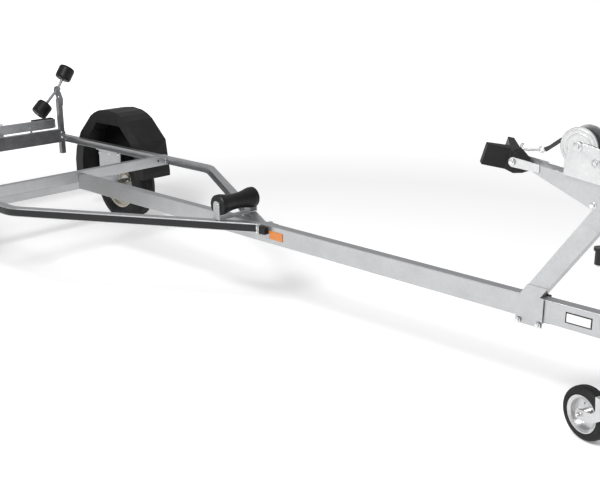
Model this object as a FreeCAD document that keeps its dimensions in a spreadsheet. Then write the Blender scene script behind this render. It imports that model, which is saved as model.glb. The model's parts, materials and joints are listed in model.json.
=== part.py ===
import FreeCAD, Part
import math
import os
import Sketcher

from FreeCAD import Placement, Rotation, Vector

# Boat trailer, parked on its two road wheels and its jockey wheel.
# Trailer frame: +X towards the coupling, +Y the trailer's left, +Z up.
# Its zero is the front face of the middle cross-member, on the centre plane,
# at the height of the drawbar's top. All sizes are in millimetres and degrees.
# The last step leans the trailer nose down onto its jockey wheel.

SIZES = [
    # Drawbar, the box tube that runs down the middle
    ("drawbar_length", 4020),
    ("drawbar_tall", 100),
    ("drawbar_wide", 50),
    ("drawbar_wall", 4),
    # Side rails, a channel each, straight and then bent in to the drawbar
    ("frame_half_width", 800),
    ("rail_tall", 50),
    ("rail_flange", 50),
    ("rail_wall", 3),
    ("rail_drop", 5),
    ("rail_rear_x", -1480),
    ("rail_corner_x", 450),
    ("rail_end_x", 1780),
    ("rail_bend_radius", 220),
    ("end_cap_length", 45),
    ("end_cap_wide", 30),
    ("end_bracket_length", 20),
    # Cross-members, channels from rail to rail
    ("cross_tall", 70),
    ("cross_depth", 45),
    ("cross_wall", 4),
    ("cross_rise", 17),
    ("rear_cross_rise", 40),
    ("lower_beam_size", 40),
    # Light board across the back
    ("light_board_tall", 76),
    ("light_board_thick", 25),
    ("light_board_inset", 60),
    ("light_board_half", "=frame_half_width - light_board_inset"),
    ("light_board_lift", 52),
    ("light_board_foot", 4),
    ("light_board_foot_wide", 20),
    ("light_board_foot_y", "=frame_half_width * 5 / 8"),
    ("lamp_long", 200),
    ("lamp_tall", 90),
    ("lamp_thick", 40),
    ("plate_long", 520),
    ("plate_tall", 110),
    ("plate_thick", 2),
    # Axle, a square beam with a trailing arm at each end
    ("wheel_x", -830),
    ("wheel_below", 360),
    ("axle_beam_size", 60),
    ("axle_forward", 90),
    ("axle_above", 90),
    ("axle_end_inset", 14),
    ("axle_beam_half", "=frame_half_width - axle_end_inset"),
    ("bracket_plate_long", 300),
    ("bracket_plate_thick", 8),
    ("bracket_plate_y", "=axle_beam_half - bracket_plate_thick"),
    ("arm_thick", 22),
    ("arm_wide", 56),
    ("stub_radius", 17),
    # Road wheels
    ("wheel_outset", 145),
    ("wheel_y", "=frame_half_width + wheel_outset"),
    ("tyre_radius", 298),
    ("tyre_wide", 195),
    ("tyre_side_tall", 106),
    ("rim_radius", "=tyre_radius - tyre_side_tall"),
    ("rim_wide", 140),
    ("rim_wall", 4),
    ("rim_disc_y", 12),
    ("hub_radius", 66),
    ("hub_barrel_radius", 42),
    # Mudguards
    ("guard_inner_y", "=frame_half_width"),
    ("guard_wide", 262),
    ("guard_wall", 5),
    ("guard_side_band", 108),
    ("guard_top", 262),
    ("guard_rear_reach", 515),
    ("guard_front_reach", 450),
    ("guard_rear_bottom", -345),
    ("guard_front_bottom", -245),
    ("guard_skirt_bottom", -125),
    # Keel rollers and their brackets
    ("keel_front_back", 220),
    ("keel_front_x", "=rail_end_x - keel_front_back"),
    ("keel_rear_ahead", 22),
    ("keel_roller_half", 136),
    ("keel_waist_radius", 44),
    ("keel_end_radius", 58),
    ("keel_axis_height", 80),
    ("keel_shaft_radius", 10),
    ("keel_plate", 6),
    ("keel_ear_wide", 50),
    # Side support posts, with a rocking rod and two rollers each
    ("post_size", 40),
    ("post_wall", 3),
    ("post_bottom", -170),
    ("post_top", 300),
    ("clamp_wall", 5),
    ("clamp_tall", 70),
    ("pivot_inset", 55),
    ("pivot_y", "=frame_half_width - pivot_inset"),
    ("pivot_z", 388),
    ("head_plate", 8),
    ("rocker_radius", 11),
    ("rocker_sleeve_radius", 19),
    ("rocker_sleeve_length", 30),
    ("upper_roller_out", 147),
    ("upper_roller_lean", 56),
    ("lower_roller_out", 223),
    ("lower_roller_lean", 43),
    ("side_roller_radius", 67),
    ("side_roller_long", 115),
    ("side_roller_round", 18),
    # Winch post, its arm, the bow stop and the winch
    ("post_foot_back", 700),
    ("post_foot_x", "=drawbar_length - post_foot_back"),
    ("post_foot_long", 120),
    ("post_foot_below", 25),
    ("winch_post_lean", 33.8),
    ("winch_post_deep", 73),
    ("winch_post_wide", 60),
    ("winch_post_wall", 4),
    ("winch_post_length", 585),
    ("arm_plate", 4),
    ("arm_rear_ahead", 20),
    ("arm_rear_x", "=post_foot_x + arm_rear_ahead"),
    ("arm_length", 430),
    ("arm_front_x", "=arm_rear_x + arm_length"),
    ("arm_below_post", 33),
    ("arm_rear_top", "=winch_post_length - arm_below_post"),
    ("arm_fall", 60),
    ("bow_ear_long", 100),
    ("bow_ear_tall", 40),
    ("bow_ear_plate", 5),
    ("bow_bolt_below", 7),
    ("bow_half_spread", 100),
    ("bow_tall", 90),
    ("bow_lean", 17),
    ("drum_ahead", 216),
    ("drum_x", "=post_foot_x + drum_ahead"),
    ("drum_above_arm", 91),
    ("drum_z", "=arm_rear_top + drum_above_arm"),
    ("flange_radius", 75),
    ("drum_half_wide", 42),
    ("drum_core_radius", 24),
    ("drum_shaft_radius", 8),
    ("strap_wound_radius", 62),
    ("strap_wide", 40),
    ("strap_thick", 3),
    ("winch_plate", 4),
    ("winch_plate_y", 50),
    ("winch_foot_back", 48),
    ("winch_foot_front", 164),
    ("crank_ahead", 76),
    ("crank_x", "=drum_x + crank_ahead"),
    ("crank_below_drum", 53),
    ("crank_z", "=drum_z - crank_below_drum"),
    ("crank_long", 210),
    ("crank_shaft_radius", 7),
    # Jockey wheel
    ("jockey_back", 255),
    ("jockey_x", "=drawbar_length - jockey_back"),
    ("jockey_y", -85),
    ("jockey_tube_radius", 24),
    ("jockey_tube_wall", 2.5),
    ("jockey_tube_bottom", -140),
    ("jockey_tube_top", 212),
    ("jockey_inner_radius", 21),
    ("jockey_inner_wall", 3),
    ("jockey_head_z", -300),
    ("jockey_below", 412),
    ("jockey_trail", 100),
    ("jockey_turn", 20),
    ("jockey_wheel_radius", 112),
    ("jockey_wheel_wide", 62),
    ("jockey_rim_radius", 78),
    ("jockey_axle_radius", 8),
    ("fork_plate", 5),
    ("fork_arm_tall", 42),
    ("clamp_half_tall", 60),
    ("crank_arm", 83),
    ("crank_knob_radius", 17),
    ("crank_knob_tall", 62),
    # Coupling
    ("coupling_long", 330),
    ("coupling_wide", 62),
    ("coupling_tall", 62),
    ("coupling_wall", 5),
    ("coupling_overlap", 130),
    ("ball_radius", 25),
    ("coupling_lever_long", 150),
    # Trim
    ("reflector_ahead", 120),
    ("reflector_x", "=rail_end_x + reflector_ahead"),
    ("reflector_long", 100),
    ("reflector_tall", 44),
    ("reflector_thick", 4),
    # Clearances
    ("fit", 0.05),
    ("side_play", 0.4),
    ("seat_gap", 0.3),
]

document = FreeCAD.newDocument("BoatTrailer")
sheet = document.addObject("Spreadsheet::Sheet", "Sizes")


def fill_sheet():
    """Write every size into the sheet, with its name as alias. A size that starts with = follows others."""
    for row, (name, number) in enumerate(SIZES, start=1):
        sheet.set("A%d" % row, name.replace("_", " "))
        sheet.set("B%d" % row, str(number))
        sheet.setAlias("B%d" % row, name)
    document.recompute()


class Sheet:
    """Reads a driving size by its name."""

    def __getattr__(self, name):
        return float(sheet.get(name))


s = Sheet()
sub_parts = []


def bind(thing, **expressions):
    """Tie properties of a feature to cells of the sheet."""
    for name, expression in expressions.items():
        thing.setExpression(name, expression)


def at(x=0.0, y=0.0, z=0.0, rotation=Rotation()):
    return Placement(Vector(x, y, z), rotation)


def turned(axis, degrees):
    return Rotation(Vector(*axis), degrees)


def along(direction):
    """Rotation that carries +Z onto a direction."""
    return Rotation(Vector(0, 0, 1), Vector(*direction))


def keep(thing, label, placement=None):
    """Name a sub-part and note its place in the trailer frame."""
    thing.Label = label
    if placement is not None:
        thing.Placement = placement
    sub_parts.append(thing)
    return thing


# Solid primitives

def box(length, width, height, corner):
    solid = document.addObject("Part::Box", "Block")
    bind(solid, Length=length, Width=width, Height=height)
    solid.Placement = at(*corner)
    return solid


def rod(radius, length, start, direction=(0, 0, 1)):
    solid = document.addObject("Part::Cylinder", "Rod")
    bind(solid, Radius=radius, Height=length)
    solid.Placement = at(*start, along(direction))
    return solid


def fused(*solids):
    union = document.addObject("Part::MultiFuse", "Union")
    union.Shapes = list(solids)
    return union


def cut(base, *tools):
    result = document.addObject("Part::Cut", "Cut")
    result.Base = base
    result.Tool = tools[0] if len(tools) == 1 else fused(*tools)
    return result


def group(*solids):
    together = document.addObject("Part::Compound", "Together")
    together.Links = list(solids)
    return together


# Bodies made from sketches

def origin_plane(body, role):
    return next(plane for plane in body.Origin.OriginFeatures if plane.Role == role)


def sketch_on(body, role, offset=0.0):
    sketch = body.newObject("Sketcher::SketchObject", "Outline")
    sketch.AttachmentSupport = [(origin_plane(body, role), "")]
    sketch.MapMode = "FlatFace"
    sketch.AttachmentOffset = at(0, 0, offset)
    return sketch


def draw_polygon(sketch, points):
    """Closed outline through the points, its corners tied together."""
    first = sketch.GeometryCount
    count = len(points)
    corners = [Vector(px, py, 0) for px, py in points]
    for index in range(count):
        line = Part.LineSegment(corners[index], corners[(index + 1) % count])
        sketch.addGeometry(line, False)
    for index in range(count):
        following = first + (index + 1) % count
        sketch.addConstraint(Sketcher.Constraint("Coincident", first + index, 2, following, 1))


def draw_rectangle(sketch, width, height, centre=(0.0, 0.0)):
    """Rectangle about a centre, with width and height tied to the sheet."""
    cx, cy = centre
    first = sketch.GeometryCount
    half = 5.0
    draw_polygon(sketch, [(cx - half, cy - half), (cx + half, cy - half),
                          (cx + half, cy + half), (cx - half, cy + half)])
    for side, kind in enumerate(("Horizontal", "Vertical", "Horizontal", "Vertical")):
        sketch.addConstraint(Sketcher.Constraint(kind, first + side))
    wide = sketch.addConstraint(Sketcher.Constraint("DistanceX", first, 1, first, 2, 2 * half))
    tall = sketch.addConstraint(Sketcher.Constraint("DistanceY", first + 1, 1, first + 1, 2, 2 * half))
    sketch.setExpression("Constraints[%d]" % wide, width)
    sketch.setExpression("Constraints[%d]" % tall, height)
    middle = sketch.addGeometry(Part.Point(Vector(cx, cy, 0)), True)
    sketch.addConstraint(Sketcher.Constraint("Symmetric", first, 1, first + 1, 2, middle, 1))
    sketch.addConstraint(Sketcher.Constraint("DistanceX", -1, 1, middle, 1, cx))
    sketch.addConstraint(Sketcher.Constraint("DistanceY", -1, 1, middle, 1, cy))


def draw_circle(sketch, radius, centre=(0.0, 0.0)):
    """Circle about a centre, with its radius tied to the sheet."""
    circle = Part.Circle(Vector(*centre, 0), Vector(0, 0, 1), 10.0)
    index = sketch.addGeometry(circle, False)
    tie = sketch.addConstraint(Sketcher.Constraint("Radius", index, 10.0))
    sketch.setExpression("Constraints[%d]" % tie, radius)


def pad(body, sketch, length):
    feature = body.newObject("PartDesign::Pad", "Pad")
    feature.Profile = sketch
    bind(feature, Length=length)
    sketch.Visibility = False
    return feature


def pocket(body, sketch, length, reverse=False):
    feature = body.newObject("PartDesign::Pocket", "Pocket")
    feature.Profile = sketch
    feature.Reversed = reverse
    bind(feature, Length=length)
    return feature


def new_body():
    return document.addObject("PartDesign::Body", "Body")


def tube_body(width, height, wall, length):
    """Rectangular tube from x = 0 along +X, its section centred on the axis."""
    body = new_body()
    section = sketch_on(body, "YZ_Plane")
    draw_rectangle(section, width, height)
    draw_rectangle(section, "%s - 2 * %s" % (width, wall), "%s - 2 * %s" % (height, wall))
    pad(body, section, length)
    return body


def plate_body(points, thickness, role="XZ_Plane", offset=0.0, holes=()):
    """Flat plate from an outline; a plate drawn on XZ_Plane thickens towards -Y."""
    body = new_body()
    outline = sketch_on(body, role, offset)
    draw_polygon(outline, points)
    for centre, radius in holes:
        draw_circle(outline, radius, centre)
    pad(body, outline, thickness)
    return body


def revolved_body(points):
    """Ring or roller about +Z from an outline of (radius, height) points."""
    body = new_body()
    outline = sketch_on(body, "XZ_Plane")
    draw_polygon(outline, points)
    turn = body.newObject("PartDesign::Revolution", "Turn")
    turn.Profile = outline
    turn.ReferenceAxis = (outline, ["V_Axis"])
    turn.Angle = 360
    return body


def rounded_path(points, bend):
    """Wire of straight runs joined by tangent arcs of one radius."""
    corners = [Vector(*point) for point in points]
    edges = []
    start = corners[0]
    for before, corner, after in zip(corners, corners[1:], corners[2:]):
        inward = (before - corner).normalize()
        outward = (after - corner).normalize()
        half = inward.getAngle(outward) / 2
        back = bend / math.tan(half)
        middle = (inward + outward).normalize()
        enter = corner + inward * back
        leave = corner + outward * back
        top = corner + middle * (bend / math.sin(half) - bend)
        edges.append(Part.LineSegment(start, enter).toShape())
        edges.append(Part.Arc(enter, top, leave).toShape())
        start = leave
    edges.append(Part.LineSegment(start, corners[-1]).toShape())
    return Part.Wire(edges)


def bent_rod(points, bend, radius):
    """Round rod along a bent path."""
    path = rounded_path(points, bend)
    heading = Vector(*points[1]) - Vector(*points[0])
    ring = Part.Wire(Part.Circle(Vector(*points[0]), heading, radius).toShape())
    solid = document.addObject("Part::Feature", "BentRod")
    solid.Shape = path.makePipeShell([ring], True, False)
    return solid


def mirrored(thing, label):
    """The same sub-part on the other side of the centre plane."""
    mirror = document.addObject("Part::Mirroring", "Mirror")
    mirror.Source = thing
    mirror.Normal = (0, 1, 0)
    return keep(mirror, label)


fill_sheet()


# Frame

def make_drawbar():
    tube = tube_body("Sizes.drawbar_wide", "Sizes.drawbar_tall", "Sizes.drawbar_wall", "Sizes.drawbar_length")
    keep(tube, "drawbar_tube", at(0, 0, -s.drawbar_tall / 2))


def rail_line(inset):
    """Plan of a rail's line at an inset from its outer face: start, bend points and end."""
    side = s.drawbar_wide / 2
    run = s.rail_end_x - s.rail_corner_x
    fall = s.frame_half_width - side
    angle = math.atan2(fall, run)
    reach = s.rail_bend_radius * math.tan(angle / 2)
    centre = Vector(s.rail_corner_x - reach, s.frame_half_width - s.rail_bend_radius, 0)
    radius = s.rail_bend_radius - inset
    enter = centre + Vector(0, radius, 0)
    middle = centre + Vector(math.sin(angle / 2), math.cos(angle / 2), 0) * radius
    leave = centre + Vector(math.sin(angle), math.cos(angle), 0) * radius
    start = Vector(s.rail_rear_x, s.frame_half_width - inset, 0)
    to_side = (leave.y - side) / math.sin(angle)
    end = leave + Vector(math.cos(angle), -math.sin(angle), 0) * to_side
    return start, enter, middle, leave, end


def draw_rail_strip(sketch, outer, inner):
    """Closed strip between two insets of the rail's line."""
    lines = []
    a, b, c, d, e = rail_line(outer)
    lines.append(Part.LineSegment(a, b))
    lines.append(Part.Arc(b, c, d))
    lines.append(Part.LineSegment(d, e))
    f, g, h, i, j = rail_line(inner)
    lines.append(Part.LineSegment(e, j))
    lines.append(Part.LineSegment(j, i))
    lines.append(Part.Arc(i, h, g))
    lines.append(Part.LineSegment(g, f))
    lines.append(Part.LineSegment(f, a))
    for line in lines:
        sketch.addGeometry(line, False)


def make_rails():
    """Channel rails, their open sides towards the middle of the trailer."""
    body = new_body()
    outline = sketch_on(body, "XY_Plane")
    draw_rail_strip(outline, 0.0, s.rail_flange)
    pad(body, outline, "Sizes.rail_tall")
    hollow = sketch_on(body, "XY_Plane", s.rail_wall)
    draw_rail_strip(hollow, s.rail_wall, s.rail_flange)
    pocket(body, hollow, "Sizes.rail_tall - 2 * Sizes.rail_wall", reverse=True)
    rail = keep(body, "side_rail_left", at(0, 0, -s.rail_drop - s.rail_tall))
    mirrored(rail, "side_rail_right")


def channel_body(front_x, top, half_length, opens_forward):
    """Channel across the trailer; its web is the face away from the open side."""
    tall = s.cross_tall
    wall = s.cross_wall
    depth = s.cross_depth
    near = front_x if not opens_forward else front_x - depth
    web = near - wall if not opens_forward else near + wall
    far = front_x - depth if not opens_forward else front_x
    points = [(near, top), (far, top), (far, top - wall), (web, top - wall),
              (web, top - tall + wall), (far, top - tall + wall), (far, top - tall), (near, top - tall)]
    return plate_body(points, "2 * (Sizes.frame_half_width - Sizes.rail_flange)", offset=-half_length)


def cross_half():
    return s.frame_half_width - s.rail_flange


def rear_cross_x():
    return s.rail_rear_x - 2


def make_cross_members():
    middle = channel_body(0.0, s.cross_rise, cross_half(), False)
    keep(middle, "cross_member_middle")
    rear = channel_body(rear_cross_x(), s.rear_cross_rise, cross_half(), False)
    beam = tube_body("Sizes.lower_beam_size", "Sizes.lower_beam_size", "Sizes.rail_wall",
                     "2 * (Sizes.frame_half_width - Sizes.rail_flange)")
    centre_x = rear_cross_x() - s.lower_beam_size / 2
    centre_z = s.rear_cross_rise - s.cross_tall - s.lower_beam_size / 2
    beam.Placement = at(centre_x, -cross_half(), centre_z, turned((0, 0, 1), 90))
    keep(fused(rear, beam), "cross_member_rear")


def make_rail_ends():
    """Bolted end bracket and black cap in front of each rail's end, on the drawbar's side."""
    side = s.drawbar_wide / 2
    top = -s.rail_drop
    brackets = []
    caps = []
    for sign in (1, -1):
        bracket_y = side if sign > 0 else -side - s.end_cap_wide
        brackets.append(box("Sizes.end_bracket_length", "Sizes.end_cap_wide", "Sizes.rail_tall",
                            (s.rail_end_x, bracket_y, top - s.rail_tall)))
        caps.append(box("Sizes.end_cap_length", "Sizes.end_cap_wide", "Sizes.rail_tall - 12",
                        (s.rail_end_x + s.end_bracket_length, bracket_y, top - s.rail_tall + 6)))
    keep(group(*brackets), "rail_end_brackets")
    keep(group(*caps), "rail_end_caps")


# Lights at the back

def light_board_x():
    return rear_cross_x() - s.cross_depth - s.light_board_foot - s.light_board_thick


def make_light_board():
    board_x = light_board_x()
    low = s.light_board_lift
    board = box("Sizes.light_board_thick", "2 * Sizes.light_board_half", "Sizes.light_board_tall",
                (board_x, -s.light_board_half, low))
    foot_low = s.rear_cross_rise - s.cross_tall / 2
    feet = []
    half_wide = s.light_board_foot_wide / 2
    for y in (-s.light_board_foot_y, s.light_board_foot_y):
        feet.append(box("Sizes.light_board_foot", "Sizes.light_board_foot_wide",
                        "Sizes.light_board_lift + Sizes.light_board_tall / 2 "
                        "- Sizes.rear_cross_rise + Sizes.cross_tall / 2",
                        (board_x + s.light_board_thick, y - half_wide, foot_low)))
    keep(fused(board, *feet), "light_board")
    for side, label in ((1, "tail_lamp_left"), (-1, "tail_lamp_right")):
        lamp_y = side * (s.light_board_half - s.lamp_long / 2) - s.lamp_long / 2
        lamp = box("Sizes.lamp_thick", "Sizes.lamp_long", "Sizes.lamp_tall",
                   (board_x - s.lamp_thick, lamp_y, low - (s.lamp_tall - s.light_board_tall) / 2))
        keep(lamp, label)
    plate = box("Sizes.plate_thick", "Sizes.plate_long", "Sizes.plate_tall",
                (board_x - s.plate_thick, -s.plate_long / 2, low - (s.plate_tall - s.light_board_tall) / 2))
    keep(plate, "number_plate")


# Axle and road wheels

def axle_centre():
    return s.wheel_x + s.axle_forward, -s.wheel_below + s.axle_above


def make_axle():
    beam_x, beam_z = axle_centre()
    beam = box("Sizes.axle_beam_size", "2 * Sizes.axle_beam_half", "Sizes.axle_beam_size",
               (beam_x - s.axle_beam_size / 2, -s.axle_beam_half, beam_z - s.axle_beam_size / 2))
    keep(beam, "axle_beam")
    rail_bottom = -s.rail_drop - s.rail_tall
    half = s.bracket_plate_long / 2
    gap = s.axle_beam_size / 2
    points = [(beam_x - half - 60, rail_bottom), (beam_x + half - 60, rail_bottom),
              (beam_x + gap + 30, beam_z - 10), (beam_x + gap, beam_z - 10), (beam_x + gap, beam_z + gap),
              (beam_x - gap, beam_z + gap), (beam_x - gap, beam_z - 10), (beam_x - half, beam_z - 10),
              (beam_x - half - 60, beam_z + 60)]
    plate = plate_body(points, "Sizes.bracket_plate_thick", offset=-s.bracket_plate_y - s.bracket_plate_thick)
    flange = box("Sizes.bracket_plate_long", "Sizes.rail_flange - 1", "Sizes.bracket_plate_thick",
                 (beam_x - half - 60, cross_half(), rail_bottom - s.bracket_plate_thick))
    bracket = keep(fused(plate, flange), "axle_bracket_left")
    mirrored(bracket, "axle_bracket_right")


def make_swing_arm():
    """Trailing arm with its stub axle, from the beam's end to the wheel."""
    beam_x, beam_z = axle_centre()
    arm_y = s.axle_beam_half
    run = Vector(s.wheel_x - beam_x, 0, -s.wheel_below - beam_z)
    angle = math.degrees(math.atan2(-run.z, -run.x))
    bar = document.addObject("Part::Box", "Bar")
    bind(bar, Width="Sizes.arm_thick", Height="Sizes.arm_wide")
    bar.setExpression("Length", "sqrt(Sizes.axle_forward ^ 2 + Sizes.axle_above ^ 2)")
    turn = turned((0, 1, 0), 180 - angle)
    corner = turn.multVec(Vector(0, 0, -s.arm_wide / 2))
    bar.Placement = at(beam_x + corner.x, arm_y, beam_z + corner.z, turn)
    head = rod("Sizes.arm_wide / 2", "Sizes.arm_thick", (beam_x, arm_y, beam_z), (0, 1, 0))
    boss = rod("Sizes.arm_wide / 2", "Sizes.arm_thick", (s.wheel_x, arm_y, -s.wheel_below), (0, 1, 0))
    stub = rod("Sizes.stub_radius", "Sizes.wheel_y + 10 - Sizes.axle_beam_half",
               (s.wheel_x, arm_y, -s.wheel_below), (0, 1, 0))
    arm = keep(fused(bar, head, boss, stub), "swing_arm_left")
    mirrored(arm, "swing_arm_right")


def rim_points():
    """Section of the steel rim and its disc: radius and distance outboard."""
    half = s.rim_wide / 2
    wall = s.rim_wall
    seat = s.rim_radius - 15
    well = s.rim_radius - 34
    disc = s.rim_disc_y
    return [(s.rim_radius, -half), (s.rim_radius, -half + wall), (seat, -half + 8), (seat, -half + 26),
            (well, -half + 36), (well, half - 50), (seat, half - 34), (seat, half - 8),
            (s.rim_radius, half - wall), (s.rim_radius, half), (s.rim_radius - 6, half),
            (seat - wall, half - 6), (seat - wall, half - 32), (well - wall, half - 48),
            (well - wall, disc + wall), (well - 20, disc + wall), (well - 45, disc + 14),
            (s.hub_radius + 14, disc + 14), (s.hub_radius, disc + wall), (s.stub_radius + 18, disc + wall),
            (s.stub_radius + 18, disc), (s.hub_radius + 4, disc), (s.hub_radius + 16, disc + 10),
            (well - 47, disc + 10), (well - 22, disc), (well - wall, disc),
            (well - wall, -half + 34), (seat - wall, -half + 24), (seat - wall, -half + 6),
            (s.rim_radius - 6, -half)]


def tyre_points():
    """Section of the tyre, seated on the rim with a small gap."""
    half = s.tyre_wide / 2
    bead = s.rim_radius - 15 + s.seat_gap
    grip = s.rim_wide / 2 - 8 - s.seat_gap
    flank = s.rim_wide / 2 + 2
    lip = s.rim_radius + 1
    middle = (s.rim_radius + s.tyre_radius) / 2
    return [(bead, -grip), (bead, grip), (lip - 0.5, grip + 3.8), (lip, flank), (lip + 15, half - 8),
            (middle - 4, half), (middle + 22, half - 3), (s.tyre_radius - 14, half - 14),
            (s.tyre_radius - 3, half - 30), (s.tyre_radius, half - 52), (s.tyre_radius, -half + 52),
            (s.tyre_radius - 3, -half + 30), (s.tyre_radius - 14, -half + 14), (middle + 22, -half + 3),
            (middle - 4, -half), (lip + 15, -half + 8), (lip, -flank), (lip - 0.5, -grip - 3.8)]


def hub_points():
    """Section of the hub, turning on the stub with a running fit."""
    bore = s.stub_radius + s.fit
    disc = s.rim_disc_y - s.side_play
    back = s.axle_beam_half + s.arm_thick - s.wheel_y + s.side_play
    return [(bore, back), (s.hub_barrel_radius, back), (s.hub_barrel_radius, disc - 12),
            (s.hub_radius, disc - 12), (s.hub_radius, disc), (s.hub_barrel_radius - 8, disc),
            (s.hub_barrel_radius - 8, disc + 4), (s.stub_radius + 14, disc + 4),
            (s.stub_radius + 14, disc + 38), (0, disc + 38), (0, disc + 30), (bore, disc + 30)]


def make_wheels():
    for sign, name in ((1, "left"), (-1, "right")):
        outboard = turned((1, 0, 0), -90 * sign)
        place = at(s.wheel_x, sign * s.wheel_y, -s.wheel_below, outboard)
        keep(revolved_body(tyre_points()), "tyre_" + name, place)
        keep(revolved_body(rim_points()), "rim_" + name, place)
        keep(revolved_body(hub_points()), "hub_" + name, place)


# Mudguards

def guard_outline(inset):
    """Side view of a mudguard at an inset from its skin, open at the bottom."""
    top = s.guard_top - inset
    cheek = 412 - inset
    shoulder = 246 - inset * 0.8
    brow = 185 - inset * 0.6
    cap = [(cheek, 40 - inset * 0.3), (shoulder, top - 67), (brow, top - 34), (brow * 0.65, top - 12)]
    front = s.guard_front_reach - inset
    rear = s.guard_rear_reach - inset
    right = [(front, s.guard_front_bottom), (front, -200), (front - 18, -95)] + cap
    left = [(rear, s.guard_rear_bottom), (rear, -200), (rear - 26, -95)] + cap
    points = right + [(0, top)] + [(-px, pz) for px, pz in reversed(left)]
    return [(s.wheel_x + px, pz) for px, pz in points]


def guard_openings():
    """Wheel openings of a mudguard's inner side and of its deeper outer side."""
    band = s.guard_side_band
    front = s.guard_front_reach - band
    rear = s.guard_rear_reach - band
    below = s.guard_rear_bottom - 10
    inner = [(front, below), (front, -200), (front - 10, -95), (290, 20), (155, 146), (-165, 146), (-290, 20),
             (26 - rear, -95), (-rear, -200), (-rear, below)]
    outer = [(front, below), (front, -170), (front - 60, s.guard_skirt_bottom),
             (60 - rear, s.guard_skirt_bottom), (-rear, -170), (-rear, below)]
    return [[(s.wheel_x + px, pz) for px, pz in points] for points in (inner, outer)]


def make_mudguard():
    body = new_body()
    back = -s.guard_inner_y - s.guard_wide
    outline = sketch_on(body, "XZ_Plane", back)
    draw_polygon(outline, guard_outline(0.0))
    pad(body, outline, "Sizes.guard_wide")
    inside = sketch_on(body, "XZ_Plane", -s.guard_inner_y - s.guard_wall)
    points = guard_outline(s.guard_wall)
    points[0] = (points[0][0], s.guard_front_bottom - 10)
    points[-1] = (points[-1][0], s.guard_rear_bottom - 10)
    draw_polygon(inside, points)
    pocket(body, inside, "Sizes.guard_wide - 2 * Sizes.guard_wall")
    inner, outer = guard_openings()
    for points, start in ((inner, s.guard_inner_y - 5), (outer, s.guard_inner_y + s.guard_wide - s.guard_wall - 5)):
        opening = sketch_on(body, "XZ_Plane", -start)
        draw_polygon(opening, points)
        pocket(body, opening, "Sizes.guard_wall + 10")
    guard = keep(body, "mudguard_left")
    mirrored(guard, "mudguard_right")


# Keel rollers

def keel_points():
    """Hourglass roller of black rubber on its shaft: radius and place along it."""
    half = s.keel_roller_half
    bore = s.keel_shaft_radius + s.fit
    waist = s.keel_waist_radius
    end = s.keel_end_radius
    right = [(waist, 0), (waist + 1, half * 0.25), (waist + 6, half * 0.5), (end, half * 0.78), (end, half - 5),
             (end - 5, half), (bore, half)]
    left = [(radius, -place) for radius, place in reversed(right[1:])]
    return right + left


def keel_bracket(height, foot_back):
    """Plate across the beam with an ear and the shaft's end at each side."""
    half = s.keel_roller_half + s.side_play
    plate = s.keel_plate
    reach = s.keel_roller_half + s.side_play + plate
    half_wide = s.keel_ear_wide / 2
    base = box("Sizes.keel_ear_wide + %s" % foot_back,
               "2 * (Sizes.keel_roller_half + Sizes.side_play + Sizes.keel_plate)",
               "Sizes.keel_plate", (-half_wide - foot_back, -reach, 0))
    pieces = [base]
    for y in (-reach, half):
        pieces.append(box("Sizes.keel_ear_wide", "Sizes.keel_plate", "Sizes.keel_axis_height",
                          (-half_wide, y, 0)))
        pieces.append(rod("Sizes.keel_ear_wide / 2", "Sizes.keel_plate", (0, y, height), (0, 1, 0)))
    pieces.append(rod("Sizes.keel_shaft_radius",
                      "2 * (Sizes.keel_roller_half + Sizes.side_play + Sizes.keel_plate) + 16",
                      (0, -reach - 8, height), (0, 1, 0)))
    return fused(*pieces)


def keel_places():
    """Each keel roller's name, place, foot height and how far its foot reaches back."""
    rear_x = rear_cross_x() + s.keel_rear_ahead
    return (("front", s.keel_front_x, 0.0, 0.0), ("rear", rear_x, s.rear_cross_rise, 35.0))


def make_keel_rollers():
    for name, x, foot, foot_back in keel_places():
        keep(keel_bracket(s.keel_axis_height, foot_back), "keel_bracket_" + name, at(x, 0, foot))
        keep(revolved_body(keel_points()), "keel_roller_" + name,
             at(x, 0, foot + s.keel_axis_height, turned((1, 0, 0), 90)))


# Side supports

def support_x():
    return s.rail_rear_x - s.post_size / 2 - s.clamp_wall


def support_y():
    return s.frame_half_width - s.post_size / 2 - s.clamp_wall


def pivot_start():
    """Front face of the head plate, where the rocker's sleeve sits."""
    return support_x() + s.post_size / 2 + s.head_plate


def rocker_x():
    return pivot_start() + s.side_play + s.rocker_sleeve_length / 2


def roller_directions():
    """Unit directions, in the plane across the trailer, of the rod's two ends."""
    up = math.radians(s.upper_roller_lean)
    down = math.radians(s.lower_roller_lean)
    return (math.cos(up), math.sin(up)), (-math.cos(down), -math.sin(down))


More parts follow.
